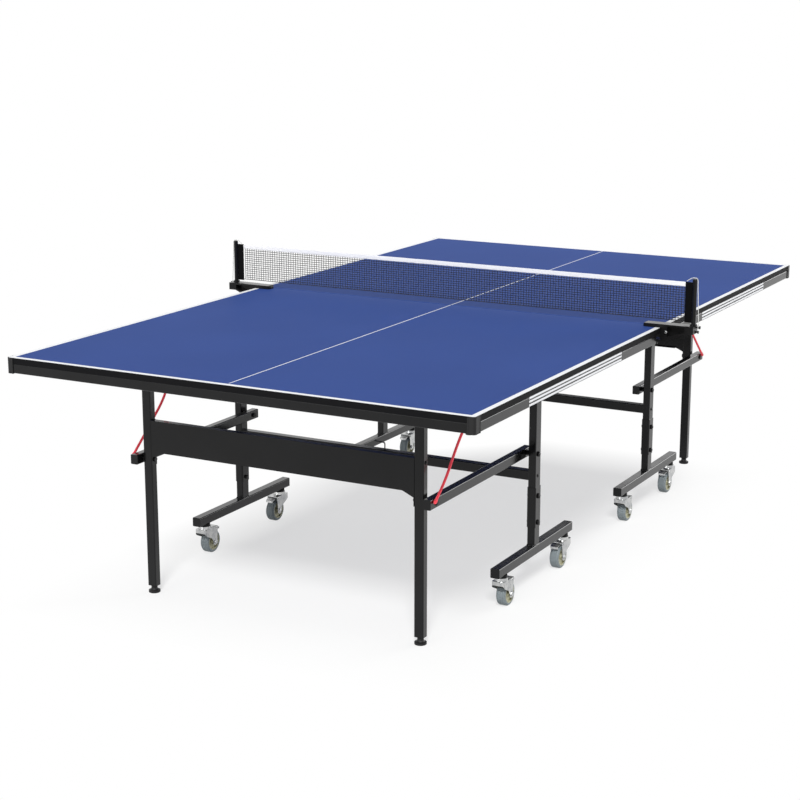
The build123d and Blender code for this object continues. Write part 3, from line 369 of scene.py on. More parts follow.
def zincFinish(name):
    # bright plate: cloudy passivation and fine drawing lines
    look = zincLook
    finish, place, chart, feed = newFinish(name, Metallic=1.0)
    clouds = place.noise(look["clouds"], 4.0, 0.6)
    lines = place.stretch(look["drawn"]).noise(look["lines"], 2.0)
    tone = clouds.spread(0.0, 1.0).blend(tones["zinc"], tones["zincDull"])
    feed(Base_Color=tone, Roughness=clouds.spread(*zincRough[name]), Normal=lines.bump(look["depth"], 0.5))
    return finish


def treadFinish():
    look = treadLook
    finish, place, chart, feed = newFinish("wheel_tread", Specular_IOR_Level=look["gloss"])
    dust = place.noise(look["dust"], 4.0, 0.6)
    tone = dust.spread(0.0, 1.0).blend(tones["tread"], tones["treadWorn"])
    rough = dust.spread(*look["rough"])
    feed(Base_Color=tone, Roughness=rough, Normal=place.noise(look["grain"], 2.0).bump(look["depth"], 0.5))
    return finish


def hubFinish():
    look = hubLook
    finish, place, chart, feed = newFinish("wheel_hub", Specular_IOR_Level=look["gloss"])
    flow = place.noise(look["flow"], 3.0)
    tone = flow.spread(0.0, 1.0).blend(tones["hub"], times(tones["hub"], look["dark"]))
    feed(Base_Color=tone, Roughness=flow.spread(*look["rough"]), Normal=flow.bump(look["depth"], 0.3))
    return finish


cloths = {
    "tape_canvas": {"tone": "canvas", "dark": 0.85, "pitch": 0.0011, "depth": 0.00010, "rough": 0.85,
                    "sheen": 0.25, "gloss": 0.15},
    "pocket_nylon": {"tone": "nylon", "dark": 0.5, "pitch": 0.0016, "depth": 0.00012, "rough": 0.7,
                     "sheen": 0.0, "gloss": 0.05},
}
yarns = {
    # the red braid's glow is painted light: emission that makes it brighter though it is no lamp
    "red_braid": {"tone": tones["cordRed"], "hollows": tones["cordDark"], "glow": 0.18},
    "white_twist": {"tone": tones["cordWhite"], "hollows": times(tones["cordWhite"], 0.6), "glow": 0.0},
    "net_yarn": {"tone": tones["yarn"], "hollows": times(tones["yarn"], 0.5), "glow": 0.0},
}
yarnLook = {"gloss": 0.15, "sheen": 0.3, "fibres": 2200.0, "rough": (0.72, 0.88), "depth": 0.00012}


def clothFinish(name):
    # plain weave on the piece's own chart, in metres: warp and weft waves, one up where the other is down
    look = cloths[name]
    finish, place, chart, feed = newFinish(
        name, Specular_IOR_Level=look["gloss"], Sheen_Weight=look["sheen"], Sheen_Roughness=0.5)
    across, along = chart.parts()[:2]
    warp = across.wave(1 / look["pitch"])
    weft = along.wave(1 / look["pitch"])
    weave = (warp * weft) * 0.5 + 0.5
    fuzz = place.noise(160.0, 4.0, 0.6)
    tone = tones[look["tone"]]
    shade = (weave * 0.5 + fuzz * 0.5).spread(0.0, 1.0, 0.2, 0.8).blend(times(tone, look["dark"]), tone)
    rough = fuzz.spread(look["rough"] - 0.06, look["rough"] + 0.06)
    feed(Base_Color=shade, Roughness=rough, Normal=weave.bump(look["depth"], 0.8))
    return finish


def yarnFinish(name):
    # spun or braided yarn: short fibres and darker hollows; a glow, emission in the yarn's own colour, is
    # painted light that brightens the red braid
    yarn, look = yarns[name], yarnLook
    finish, place, chart, feed = newFinish(
        name, Specular_IOR_Level=look["gloss"], Sheen_Weight=look["sheen"], Sheen_Roughness=0.5,
        Emission_Strength=yarn["glow"])
    fluff = place.noise(look["fibres"], 3.0, 0.6)
    shade = fluff.spread(0.0, 1.0).blend(yarn["hollows"], yarn["tone"])
    feed(Base_Color=shade, Roughness=fluff.spread(*look["rough"]), Normal=fluff.bump(look["depth"], 0.6))
    # painted glow: emission in the yarn's own colour
    if yarn["glow"]:
        feed(Emission_Color=shade)
    return finish


lacquer = boardFinish()
underPaint = underFinish()
edgePaint = edgeFinish()
linePaint = lineFinish()
powderCoat = coatFinish("powder_coat")
mouldedBlack = coatFinish("moulded_black")
clampEnamel = coatFinish("clamp_enamel")
postEnamel = coatFinish("post_enamel")
blackOxide = coatFinish("black_oxide")
zincPlate = zincFinish("zinc_plate")
dullZinc = zincFinish("dull_zinc")
tread = treadFinish()
hubPlastic = hubFinish()
redBraid = yarnFinish("red_braid")
whiteTwist = yarnFinish("white_twist")
netYarn = yarnFinish("net_yarn")
tapeCanvas = clothFinish("tape_canvas")
pocketNylon = clothFinish("pocket_nylon")
print("finishes mixed:", len(bpy.data.materials))


# frame nodes: finish by slot, then by face where a node has two
slotFinish = {
    "table_board": lacquer,
    "frame_paint": powderCoat,
    "black_plastic": mouldedBlack,
    "clamp_black": clampEnamel,
    "zinc_steel": zincPlate,
    "brake_steel": dullZinc,
    "wheel_rubber": tread,
    "release_cord": redBraid,
    "white_cord": whiteTwist,
    "net_mesh": netYarn,
}
panelParts = {"underNet": 0.01, "flat": 0.9}
boltParts = {"kingpinTop": 0.097, "crossbarBolt": 0.356, "reach": 0.012}
legPivot = 0.4775  # the plate's pivots lie further out than this
postParts = {"outside": 0.8525, "above": 0.775, "upright": 0.5}
casterParts = {"hub": 0.0287, "axle": 0.0085, "paintedShadeDepth": 0.0075, "paintedShadeTop": 0.0755}


def middle(node):
    low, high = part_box(node)
    return (np.array(low) + np.array(high)) / 2


def faceFacts(mesh):
    # centre and outward direction of each face, as arrays
    count = len(mesh.polygons)
    centres = np.empty(count * 3)
    normals = np.empty(count * 3)
    mesh.polygons.foreach_get("center", centres)
    mesh.polygons.foreach_get("normal", normals)
    return centres.reshape(-1, 3), normals.reshape(-1, 3)


def paintFaces(node, finishes, choose):
    # finishes in order; choose gives each face's number in that list
    mesh = frame["nodes"][node].data
    mesh.materials.clear()
    for finish in finishes:
        mesh.materials.append(finish)
    centres, normals = faceFacts(mesh)
    mesh.polygons.foreach_set("material_index", choose(centres, normals).astype(np.int32))


def allFaces(centres, normals):
    return np.zeros(len(centres))


def panelFaces(centres, normals):
    # top, underside, edge; the edges that meet under the net are lacquered like the top
    flat = panelParts["flat"]
    edge = np.where(np.abs(centres[:, 0]) < panelParts["underNet"], 0, 2)
    return np.where(normals[:, 2] > flat, 0, np.where(normals[:, 2] < -flat, 1, edge))


def boltFaces(centres, normals):
    # kingpins are zinc, races and the splice and pivot bolts are black, the crossbar's bolts are painted over
    z = centres[:, 2]
    painted = np.abs(z - boltParts["crossbarBolt"]) < boltParts["reach"]
    return np.where(z < boltParts["kingpinTop"], 0, np.where(painted, 2, 1))


def legFaces(centres, normals):
    return np.abs(centres[:, 1]) > legPivot


def postFaces(centres, normals):
    # the net post's upright faces have a glossier enamel than the clamp that carries it
    outside = (np.abs(centres[:, 1]) > postParts["outside"]) & (centres[:, 2] > postParts["above"])
    return outside & (np.abs(normals[:, 2]) < postParts["upright"])


def wheelFaces(axle):
    # tyre outside the hub's radius round the axle
    def choose(centres, normals):
        radius = np.hypot(centres[:, 0] - axle[0], centres[:, 2] - axle[2])
        return np.where(radius > casterParts["hub"], 0, 1)
    return choose


def forkFaces(axle, frontX, ahead):
    # the front skirt's lower edge is painted black as painted shade, standing in for the shadow in the fork's
    # open front, and the axle is duller than the fork
    def choose(centres, normals):
        x, z = centres[:, 0], centres[:, 2]
        # painted shade: a black band along the skirt's lower front edge
        skirt = (ahead * (x - frontX) < casterParts["paintedShadeDepth"]) & (z < casterParts["paintedShadeTop"])
        onAxle = np.hypot(x - axle[0], z - axle[2]) < casterParts["axle"]
        return np.where(skirt, 1, np.where(onAxle, 2, 0))
    return choose


for row in frame["record"]["subparts"]:
    paintFaces(row["node"], [slotFinish[row["material_slot"]]], allFaces)
for half, sign in halves:
    paintFaces(f"{half}_top_panel", [lacquer, underPaint, edgePaint], panelFaces)
    paintFaces(f"{half}_base_fasteners", [zincPlate, blackOxide, powderCoat], boltFaces)
    paintFaces(f"{half}_leg_plate", [powderCoat, blackOxide], legFaces)
    for caster in [f"{half}_{side}_{end}" for side, turn in sides for end in ("outer", "inner")]:
        axle = middle(f"{caster}_wheel")
        paintFaces(f"{caster}_wheel", [tread, hubPlastic], wheelFaces(axle))
        # a fork's front is the end of its box that lies away from the posts
        low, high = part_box(f"{caster}_fork")
        ahead = 1 if axle[0] < middle(f"{half}_posts")[0] else -1
        frontX = low[0] if ahead > 0 else high[0]
        # the moulded black on each fork is painted shade on its front skirt
        paintFaces(f"{caster}_fork", [zincPlate, mouldedBlack, dullZinc], forkFaces(axle, frontX, ahead))
for side, turn in sides:
    paintFaces(f"{side}_net_clamp", [clampEnamel, postEnamel], postFaces)
print("frame nodes painted")


def gridFaces(rows, cols, wrapRows=False, wrapCols=False):
    # quad (r, c) joins points r*cols+c of a grid, going round where a direction wraps
    r, c = np.meshgrid(np.arange(rows - (not wrapRows)), np.arange(cols - (not wrapCols)), indexing="ij")
    nextR, nextC = (r + 1) % rows, (c + 1) % cols
    quads = [r * cols + c, r * cols + nextC, nextR * cols + nextC, nextR * cols + c]
    return np.stack(quads, -1).reshape(-1, 4)


def roundSet(count):
    # angles of so many points round a circle
    return np.linspace(0, 2 * np.pi, count, endpoint=False)


def circle(angle):
    return np.stack([np.cos(angle), np.sin(angle)], -1)


def squircle(value, power):
    # sign of the value times |value| ** power: a small power squares a circle off
    return np.sign(value) * np.abs(value) ** power


def grid(*parts):
    # arrays stretched over each other, side by side as places
    return np.stack(np.broadcast_arrays(*parts), -1)


def carry(path, ring, side, wrapPath=False):
    # point (i, j) = path[i] + ring[j, 0] * across + ring[j, 1] * lift,
    # across = side made square to the path's tangent, lift = tangent x across
    path = np.asarray(path, float)
    if wrapPath:
        tangent = np.roll(path, -1, 0) - np.roll(path, 1, 0)
    else:
        tangent = np.gradient(path, axis=0)
    tangent /= np.linalg.norm(tangent, axis=1, keepdims=True)
    side = np.broadcast_to(np.asarray(side, float), path.shape)
    across = side - (side * tangent).sum(1, keepdims=True) * tangent
    across /= np.linalg.norm(across, axis=1, keepdims=True)
    lift = np.cross(tangent, across)
    ring = np.broadcast_to(ring, (len(path), *np.shape(ring)[-2:]))
    points = path[:, None] + ring[..., :1] * across[:, None] + ring[..., 1:] * lift[:, None]
    rows, cols = points.shape[:2]
    faces = gridFaces(rows, cols, wrapPath, True).tolist()
    if not wrapPath:
        faces.append(list(range(cols))[::-1])
        faces.append(list(range((rows - 1) * cols, rows * cols)))
    return points.reshape(-1, 3), faces


def gather(shapes):
    # several (points, faces) shapes as one
    points, faces, start = [], [], 0
    for shapePoints, shapeFaces in shapes:
        points.append(shapePoints)
        faces += [[start + corner for corner in face] for face in shapeFaces]
        start += len(shapePoints)
    return np.concatenate(points), faces


def flip(shape, axis):
    # mirror image through the plane where that axis is 0, faces turned back outwards
    points, faces = shape
    scale = np.ones(3)
    scale[axis] = -1
    return points * scale, [list(face)[::-1] for face in faces]


def newPiece(name, shape, finish, body, smooth=True, chart=None):
    points, faces = shape
    mesh = bpy.data.meshes.new(name)
    mesh.from_pydata(np.asarray(points).tolist(), [], [list(face) for face in faces])
    mesh.materials.append(finish)
    if chart is not None:
        layer = mesh.uv_layers.new(name="chart")
        corners = np.empty(len(mesh.loops), np.int32)
        mesh.loops.foreach_get("vertex_index", corners)
        layer.data.foreach_set("uv", np.asarray(chart)[corners].ravel())
    mesh.validate()
    if smooth:
        mesh.shade_smooth()
    piece = bpy.data.objects.new(name, mesh)
    scene.collection.objects.link(piece)
    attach(piece, body)
    return piece


# cords; the routes repeat the source's points, in metres
releaseCord = {
    "route": [
        (-0.832, 0.550, 0.733), (-0.832, 0.550, 0.709), (-0.854, 0.544, 0.683), (-0.885, 0.5345, 0.651),
        (-0.916, 0.5200, 0.618), (-0.936, 0.5125, 0.594), (-0.966, 0.5110, 0.561), (-0.998, 0.5130, 0.531),
        (-1.032, 0.5154, 0.497), (-1.068, 0.5164, 0.465), (-1.100, 0.5159, 0.439),
    ],
    "radius": 0.0040, "length": 0.4069, "pitch": 0.0085, "relief": 0.10, "fineness": 26, "slack": 0.30,
}
stopperKnot = {"radius": 0.0054, "length": 0.01764, "lead": 6, "rings": 40, "round": 20,
               "wraps": 3.5, "wrapDepth": 0.08, "pinch": 0.04, "shoulder": 0.35}
netCord = {
    "route": [
        (-0.0075, 0.834, 0.9106), (-0.0075, 0.846, 0.9195), (-0.0075, 0.860, 0.9240),
        (-0.0075, 0.8712, 0.9205), (-0.0075, 0.8712, 0.900), (-0.0075, 0.8730, 0.865),
        (-0.0075, 0.8755, 0.820), (-0.0075, 0.878, 0.7704),
    ],
    "radius": 0.0013, "length": 0.1939, "pitch": 0.006, "relief": 0.14, "fineness": 30,
}
cleatTurn = {"centre": (-0.0075, 0.878, 0.766), "radius": 0.0044, "count": 72, "stretch": 1.15}


def splineLine(name, route, fineness):
    # the points of a smooth NURBS line whose control points are the route
    data = bpy.data.curves.new(name, "CURVE")
    data.dimensions = "3D"
    data.resolution_u = fineness
    spline = data.splines.new("NURBS")
    spline.points.add(len(route) - 1)
    for point, place in zip(spline.points, route):
        point.co = (*place, 1.0)
    spline.order_u = 3
    spline.use_endpoint_u = True
    carrier = bpy.data.objects.new(name, data)
    scene.collection.objects.link(carrier)
    mesh = bpy.data.meshes.new_from_object(carrier)
    points = np.empty(len(mesh.vertices) * 3)
    mesh.vertices.foreach_get("co", points)
    bpy.data.objects.remove(carrier)
    bpy.data.curves.remove(data)
    return points.reshape(-1, 3)


def distanceAlong(path):
    steps = np.linalg.norm(np.diff(path, axis=0), axis=1)
    return np.concatenate([[0], np.cumsum(steps)])


def braidRing(path, radius, pitch, relief, count=24, carriers=4):
    # radius dips by relief between two sets of spiral yarns that cross:
    # height = larger of |cos| of the spirals that lean left and right
    angle = roundSet(count)[None]
    turn = 2 * np.pi * distanceAlong(path)[:, None] / pitch
    leanLeft = np.abs(np.cos(carriers * (angle + turn) / 2))
    leanRight = np.abs(np.cos(carriers * (angle - turn) / 2))
    reach = radius * (1 - relief + relief * np.maximum(leanLeft, leanRight))
    return reach[..., None] * circle(angle)


def twistRing(path, radius, pitch, relief, count=12, strands=3):
    # radius dips by relief between strands that all wind the same way
    angle = roundSet(count)[None]
    turn = 2 * np.pi * distanceAlong(path)[:, None] / pitch
    reach = radius * (1 - relief + relief * np.abs(np.cos(strands * (angle + turn) / 2)))
    return reach[..., None] * circle(angle)


def knotShape(path):
    # a barrel of wraps, radius * (1 - depth + depth |sin|) along it, pinched at both ends
    knot = stopperKnot
    along = path[-1] - path[-knot["lead"]]
    along /= np.linalg.norm(along)
    share = np.linspace(0, 1, knot["rings"])
    wraps = 1 - knot["wrapDepth"] + knot["wrapDepth"] * np.abs(np.sin(knot["wraps"] * np.pi * share))
    pinched = np.clip(np.sin(np.pi * (knot["pinch"] + (1 - 2 * knot["pinch"]) * share)), 0, 1)
    barrel = knot["radius"] * wraps * pinched ** knot["shoulder"]
    line = path[-1] + along * knot["length"] * share[:, None]
    return carry(line, barrel[:, None, None] * circle(roundSet(knot["round"]))[None], (0, 1, 0))


def makeReleaseCord(half, sign, side, turn):
    spec = releaseCord
    route = [(sign * x, turn * y, z) for x, y, z in spec["route"]]
    path = splineLine("route", route, spec["fineness"])
    shape = carry(path, braidRing(path, spec["radius"], spec["pitch"], spec["relief"]), (0, 1, 0))
    body = f"{half}_top"
    cord = newPiece(f"{half}_{side}_braid", shape, redBraid, body)
    knot = newPiece(f"{half}_{side}_knot", knotShape(path), redBraid, body)
    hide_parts(f"{half}_{side}_release_cord")
    axis = tuple(path[-1] - path[0])
    for piece in (cord, knot):
        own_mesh(piece)


def makeNetCord(side, turn):
    spec, knot = netCord, cleatTurn
    route = [(x, turn * y, z) for x, y, z in spec["route"]]
    path = splineLine("route", route, spec["fineness"])
    shape = carry(path, twistRing(path, spec["radius"], spec["pitch"], spec["relief"]), (1, 0, 0))
    cord = newPiece(f"{side}_net_line", shape, whiteTwist, "near_top")
    # one turn round the cleat's neck
    angle = roundSet(knot["count"])
    x, y, z = knot["centre"]
    loop = grid(knot["radius"] * np.cos(angle) + x, turn * y, z + knot["radius"] * np.sin(angle))
    twist = twistRing(loop, spec["radius"], spec["pitch"] * knot["stretch"], spec["relief"])
    shape = carry(loop, twist, (0, 1, 0), True)
    hitch = newPiece(f"{side}_cleat_turn", shape, whiteTwist, "near_top")
    return cord


for half, sign in halves:
    for side, turn in sides:
        makeReleaseCord(half, sign, side, turn)
netLines = [makeNetCord(side, turn) for side, turn in sides]
for line in netLines:
    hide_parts("net_cord")
print("cords laid")


# net set: tape, strands, hem, pockets and stitches share the cloth's plane
net = {"x": -0.006, "halfWidth": 0.830, "bottom": 0.782, "top": 0.908, "sway": 0.0006, "swayRate": 5.1,
       "swayStart": 0.4, "slack": 0.0003, "slackRate": 17.0}
tapeCut = {"height": 0.0145, "gap": 0.0011, "thickness": 0.0004, "below": 0.0002, "ripple": 0.00012,
           "rippleRate": 410.0, "upWall": 6, "roundFold": 9, "along": 140}
strands = {"pitchY": 0.0096, "pitchZ": 0.0075, "wide": 0.0020, "deep": 0.0011, "weave": 0.0003,
           "jitter": 0.00035, "sideGap": 0.002, "tuck": 0.002, "seed": 7}
hem = {"width": 0.0024, "rise": 0.001, "pitch": 0.02, "relief": 0.12, "round": 10, "along": 240}
pocket = {"outer": 0.8532, "bottom": 0.779, "thickness": 0.0056, "corner": 0.55, "sewn": 0.02, "drawn": 0.16,
          "narrowed": 0.015, "ripple": 0.0002, "rippleRate": 330.0, "girth": 0.052, "round": 36, "along": 48}
stitch = {"length": 0.0042, "gap": 0.0014, "fromEnd": 0.004, "toEnd": 0.008, "proud": 0.0003, "rise": 0.0018,
          "radius": 0.00028, "taper": 0.15, "rings": 5, "round": 6}
random = np.random.default_rng(strands["seed"])


def slackX(y):
    # the cloth leans to and fro along its length: a long sine of y and a short one added
    lean = net["sway"] * np.sin(y * net["swayRate"] + net["swayStart"])
    return lean + net["slack"] * np.sin(y * net["slackRate"])


def makeTape():
    # a canvas strip folded over the head line: two walls joined by a half circle
    gap, count = tapeCut["gap"], tapeCut["upWall"]
    fold = np.linspace(0, np.pi, tapeCut["roundFold"])
    walls = np.linspace(gap - tapeCut["height"], 0, count + 1)[:-1]
    x = np.concatenate([np.full(count, -gap), -gap * np.cos(fold), np.full(count, gap)])
    z = np.concatenate([walls, gap * np.sin(fold), walls[::-1]])
    y = np.linspace(-net["halfWidth"], net["halfWidth"], tapeCut["along"])
    loose = np.linspace(1, 0, len(z))[:, None] ** 2
    ripple = tapeCut["ripple"] * np.sin(y * tapeCut["rippleRate"]) * loose
    across = net["x"] + x[:, None] + slackX(y)[None] + ripple
    points = grid(across, y[None], net["top"] - gap - tapeCut["below"] + z[:, None])
    span = np.concatenate([[0], np.cumsum(np.hypot(np.diff(x), np.diff(z)))])
    chart = grid(y[None], span[:, None]).reshape(-1, 2)
    shape = (points.reshape(-1, 3), gridFaces(len(z), len(y)))
    piece = newPiece("net_tape", shape, tapeCanvas, "near_top", chart=chart)
    wall = piece.modifiers.new("solidify", "SOLIDIFY")
    wall.thickness = tapeCut["thickness"]
    wall.offset = 0.0
    return piece, span[-1]


def tubeSet(points):
    # separate closed tubes from (tubes, rings, corners, 3) points whose rings run anticlockwise
    count, rings, corners = points.shape[:3]
    starts = (np.arange(count) * rings * corners)[:, None]
    walls = (gridFaces(rings, corners, False, True)[None] + starts[:, None]).reshape(-1, 4)
    first = np.arange(corners)[None] + starts
    last = first + (rings - 1) * corners
    return points.reshape(-1, 3), walls.tolist() + first[:, ::-1].tolist() + last.tolist()


def strandSet(knots, along, across):
    # square yarns through rows of knots; knots is (yarns, knots, 3), along and across are directions
    wide = strands["wide"] / 2 * np.array(across)
    deep = strands["deep"] / 2 * np.cross(along, across)
    return tubeSet(knots[:, :, None] + np.array([wide, deep, -wide, -deep]))


def makeMesh():
    # knots on a grid, shifted a little; upright yarns pass in front at every second crossing
    y = np.arange(-net["halfWidth"] + strands["sideGap"], net["halfWidth"], strands["pitchY"])
    highest = net["top"] - tapeCut["height"] + strands["tuck"]
    z = np.arange(net["bottom"] + hem["rise"], highest, strands["pitchZ"])
    gridY, gridZ = np.meshgrid(y, z, indexing="ij")
    shiftY = random.normal(0, strands["jitter"], gridY.shape)
    shiftZ = random.normal(0, strands["jitter"], gridZ.shape)
    over = strands["weave"] * np.where((np.indices(gridY.shape).sum(0) % 2) == 0, 1, -1)
    base = net["x"] + slackX(gridY)
    upright = np.stack([base + over, gridY + shiftY, gridZ + shiftZ], -1)
    level = np.stack([base - over, gridY + shiftY, gridZ + shiftZ], -1).transpose(1, 0, 2)
    return gather([strandSet(upright, (0, 0, 1), (0, 1, 0)), strandSet(level, (0, 1, 0), (0, 0, 1))])


def meshArea(points, faces):
    # half the cross products of each quad's two triangles, added up
    quads = np.asarray(faces)
    a, b, c, d = (points[quads[:, i]] for i in range(4))
    crosses = np.cross(b - a, c - a), np.cross(c - a, d - a)
    return 0.5 * sum(np.linalg.norm(cross, axis=1) for cross in crosses).sum()


def makePocket(side, turn):
    # a flat sleeve round the post's edge: a squared circle, drawn in where it is sewn at the ends
    low, high = pocket["bottom"], net["top"]
    z = np.linspace(low, high, pocket["along"])
    share = pocket["sewn"] + (1 - 2 * pocket["sewn"]) * (z - low) / (high - low)
    full = np.clip(np.sin(np.pi * share), 0, 1)[:, None] ** pocket["drawn"]
    angle = roundSet(pocket["round"])
    middleY = (net["halfWidth"] + pocket["outer"]) / 2
    reachY = (pocket["outer"] - net["halfWidth"]) / 2 * (1 - pocket["narrowed"] + pocket["narrowed"] * full)
    x = net["x"] + pocket["thickness"] / 2 * squircle(np.sin(angle), pocket["corner"])[None] * full
    y = middleY + reachY * squircle(np.cos(angle), pocket["corner"])[None]
    y = y + pocket["ripple"] * np.sin(z * pocket["rippleRate"])[:, None]
    points = grid(x, np.minimum(y, pocket["outer"]), z[:, None])
    span = np.linspace(0, pocket["girth"], pocket["round"], endpoint=False)
    chart = grid(span[None], z[:, None]).reshape(-1, 2)
    rows, cols = points.shape[:2]
    faces = gridFaces(rows, cols, False, True)[:, ::-1].tolist()
    faces += [list(range(cols)), list(range((rows - 1) * cols, rows * cols))[::-1]]
    shape = (points.reshape(-1, 3), faces)
    if turn < 0:
        shape = flip(shape, 1)
    return newPiece(f"{side}_net_pocket", shape, pocketNylon, "near_top", chart=chart)


def makeStitches(name, starts):
    # each stitch: a short round yarn along the tape that thins out at both ends
    share = np.linspace(0, 1, stitch["rings"])
    along, out = np.array([0, 1.0, 0]), np.array([1.0, 0, 0])
    spine = starts[:, None] + stitch["length"] * along * share[None, :, None]
    radius = stitch["radius"] * np.sin(np.pi * (stitch["taper"] + (1 - 2 * stitch["taper"]) * share))
    angle = roundSet(stitch["round"])[:, None]
    ring = np.cos(angle) * out + np.sin(angle) * np.cross(along, out)
    points = spine[:, :, None] + radius[None, :, None, None] * ring
    return newPiece(name, tubeSet(points), tapeCanvas, "near_top")


tape, tapeSpan = makeTape()
meshShape = makeMesh()
netMesh = newPiece("net_strands", meshShape, netYarn, "near_top", smooth=False)
hemY = np.linspace(-net["halfWidth"], net["halfWidth"], hem["along"])
hemLine = grid(net["x"] + slackX(hemY), hemY, net["bottom"] + hem["rise"])
hemRing = twistRing(hemLine, hem["width"] / 2, hem["pitch"], hem["relief"], hem["round"])
netHem = newPiece("net_hem", carry(hemLine, hemRing, (1, 0, 0)), netYarn, "near_top")
pockets = [makePocket(side, turn) for side, turn in sides]
firstY, lastY = stitch["fromEnd"] - net["halfWidth"], net["halfWidth"] - stitch["toEnd"]
stitchY = np.arange(firstY, lastY, stitch["length"] + stitch["gap"])
for name, out in (("front", -1), ("back", 1)):
    x = net["x"] + slackX(stitchY) + out * (tapeCut["gap"] + stitch["proud"])
    starts = grid(x, stitchY, net["top"] - tapeCut["height"] + stitch["rise"])
    makeStitches(f"tape_stitches_{name}", starts)
meshArea(*meshShape) / 2
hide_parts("net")
print("net strung:", len(netMesh.data.polygons), "yarn faces")


# painted lines and stripes
lines = {"edge": 0.0170, "centre": 0.0036, "lift": 0.00015, "inset": 0.0006, "corner": 0.0069,
         "innerCorner": 0.0004, "centreStop": 0.0225, "cornerSteps": 10}
stripes = {"near": (-1.037, -0.367), "far": (0.363, 1.040), "centres": (0.7395, 0.7297, 0.7195),
           "height": 0.0065, "lift": 0.0003, "backing": (0.7148, 0.7430), "backingLift": 0.00015}


def roundedU(x0, x1, halfY, radius):
    # net edge, along one side, round the corner, across the end, and back: points of an open U
    arc = np.linspace(0, np.pi / 2, lines["cornerSteps"])
    sine, cosine = radius - radius * np.sin(arc), radius - radius * np.cos(arc)
    first = np.stack([x0 + sine, -halfY + cosine], -1)
    second = np.stack([x0 + cosine, halfY - sine], -1)
    return np.concatenate([[[x1, -halfY]], first, second, [[x1, halfY]]])


def slab(outer, inner, low, high):
    # a thin band between two matched outlines, the inner one on the right: outside, top, inside, bottom
    count = len(outer)
    corners = ((outer, low), (outer, high), (inner, high), (inner, low))
    points = np.stack([np.c_[outline, np.full(count, z)] for outline, z in corners], 1)
    faces = gridFaces(count, 4, False, True).tolist()
    return points.reshape(-1, 3), faces + [[3, 2, 1, 0], [(count - 1) * 4 + i for i in range(4)]]


def plate(low, high):
    # a thin plate between two corners
    (x0, y0, z0), (x1, y1, z1) = low, high
    return slab(np.array([[x0, y1], [x1, y1]]), np.array([[x0, y0], [x1, y0]]), z0, z1)


def railPlates(span, railY, lift, bottom, top):
    # the same thin plate on both side rails
    shape = plate((span[0], railY, bottom), (span[1], railY + lift, top))
    return [shape, flip(shape, 1)]


for half, sign in halves:
    # worked out on the near half, whose end is at the lowest X, and mirrored for the far one
    low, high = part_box(f"{half}_top_panel")
    netEdge = -min(abs(low[0]), abs(high[0])) - lines["inset"]
    tableEnd = -max(abs(low[0]), abs(high[0])) + lines["inset"]
    halfY = high[1] - lines["inset"]
    top, crest = high[2], high[2] + lines["lift"]
    width = lines["edge"] - lines["inset"]
    outline = roundedU(tableEnd, netEdge, halfY, lines["corner"])
    inside = roundedU(tableEnd + width, netEdge, halfY - width, lines["innerCorner"])
    reach = lines["centre"] / 2
    centre = plate((tableEnd + lines["centreStop"], -reach, top), (netEdge, reach, crest))
    painted = gather([slab(outline, inside, top, crest), centre])
    painted = painted if sign > 0 else flip(painted, 0)
    newPiece(f"{half}_playing_lines", painted, linePaint, f"{half}_top", smooth=False)
    shapes = []
    for z in stripes["centres"]:
        ends = z - stripes["height"] / 2, z + stripes["height"] / 2
        shapes += railPlates(stripes[half], high[1], stripes["lift"], *ends)
    newPiece(f"{half}_rail_stripes", gather(shapes), linePaint, f"{half}_top", smooth=False)
    shapes = railPlates(stripes[half], high[1], stripes["backingLift"], *stripes["backing"])
    newPiece(f"{half}_rail_backing", gather(shapes), edgePaint, f"{half}_top", smooth=False)
print("lines and stripes painted")


# bolt caps, screw heads and welds on the uprights
uprights = {"x": -0.486, "y": 0.5355}
caps = {"z": (0.2074, 0.292, 0.425), "outerFace": (0.55015, 0.55015, 0.5480), "innerFace": 0.52085,
        "outer": (0.0082, 0.0062), "inner": (0.0068, 0.0070), "crown": 0.22, "skirt": 0.45, "bends": 10,
        "round": 28}
screws = {"size": (0.0046, 0.0020), "place": (-0.040, 0.7817, 0.7483)}
welds = {"radius": 0.0026, "ripple": 0.10, "pitch": 0.0032, "halfX": 0.0192, "halfY": 0.0122, "z": 0.1352,
         "corner": 0.18, "steps": 220, "round": 8}


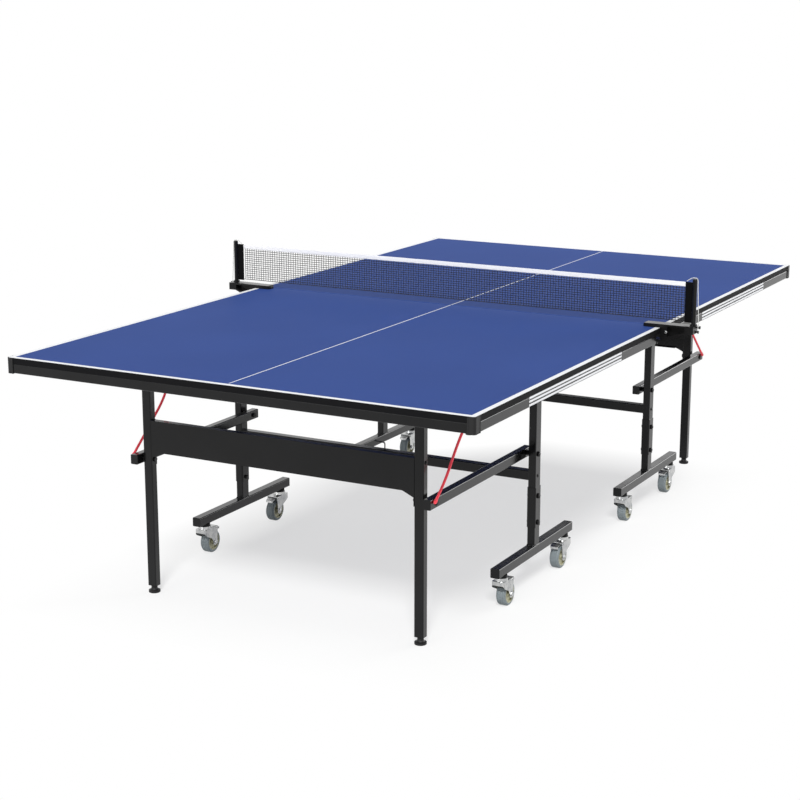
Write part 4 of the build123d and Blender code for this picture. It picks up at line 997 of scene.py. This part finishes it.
def boltCap(x, z, face, out, radius, height):
    # a turned cap on an axis parallel to Y: straight skirt, rounded crown of quarter-ellipse profile
    bend = np.linspace(0, np.pi / 2, caps["bends"])
    reach = np.concatenate([[1.0], caps["crown"] + (1 - caps["crown"]) * np.cos(bend)])[:, None] * radius
    rise = np.concatenate([[0.0], caps["skirt"] + (1 - caps["skirt"]) * np.sin(bend)])[:, None] * height
    angle = roundSet(caps["round"])
    points = grid(x + reach * np.cos(angle), face + out * rise, z + reach * np.sin(angle))
    rows, cols = points.shape[:2]
    faces = gridFaces(rows, cols, False, True).tolist()
    faces += [list(range(cols))[::-1], list(range((rows - 1) * cols, rows * cols))]
    return points.reshape(-1, 3), [loop[::-1] if out > 0 else loop for loop in faces]


def weldRing(x, y):
    # a bead round a squared circle, its radius rippled along its length
    angle = roundSet(welds["steps"])
    across = welds["halfX"] * squircle(np.cos(angle), welds["corner"])
    along = welds["halfY"] * squircle(np.sin(angle), welds["corner"])
    path = grid(x + across, y + along, welds["z"])
    span = np.cumsum(np.linalg.norm(np.roll(path, -1, 0) - path, axis=1))
    reach = welds["radius"] * (1 + welds["ripple"] * np.sin(2 * np.pi * span / welds["pitch"]))
    return carry(path, reach[:, None, None] * circle(roundSet(welds["round"]))[None], (0, 0, 1), True)


for half, sign in halves:
    shapes = []
    for side, turn in sides:
        for z, outerFace in zip(caps["z"], caps["outerFace"]):
            shapes.append(boltCap(sign * uprights["x"], z, turn * outerFace, turn, *caps["outer"]))
        for z in caps["z"][:2]:
            shapes.append(boltCap(sign * uprights["x"], z, turn * caps["innerFace"], -turn, *caps["inner"]))
    newPiece(f"{half}_bolt_caps", gather(shapes), mouldedBlack, f"{half}_base")
for side, turn in sides:
    # the zinc screw head on each clamp's web faces the table's near end
    points, faces = boltCap(0.0, 0.0, 0.0, 1, *screws["size"])
    x, y, z = screws["place"]
    points = np.stack([x - points[:, 1], turn * y + points[:, 0], z + points[:, 2]], -1)
    newPiece(f"{side}_clamp_rivet", (points, faces), zincPlate, "near_top")
for half, sign in halves:
    beads = [weldRing(sign * uprights["x"], turn * uprights["y"]) for side, turn in sides]
    newPiece(f"{half}_upright_welds", gather(beads), powderCoat, f"{half}_base")
print("welds laid")
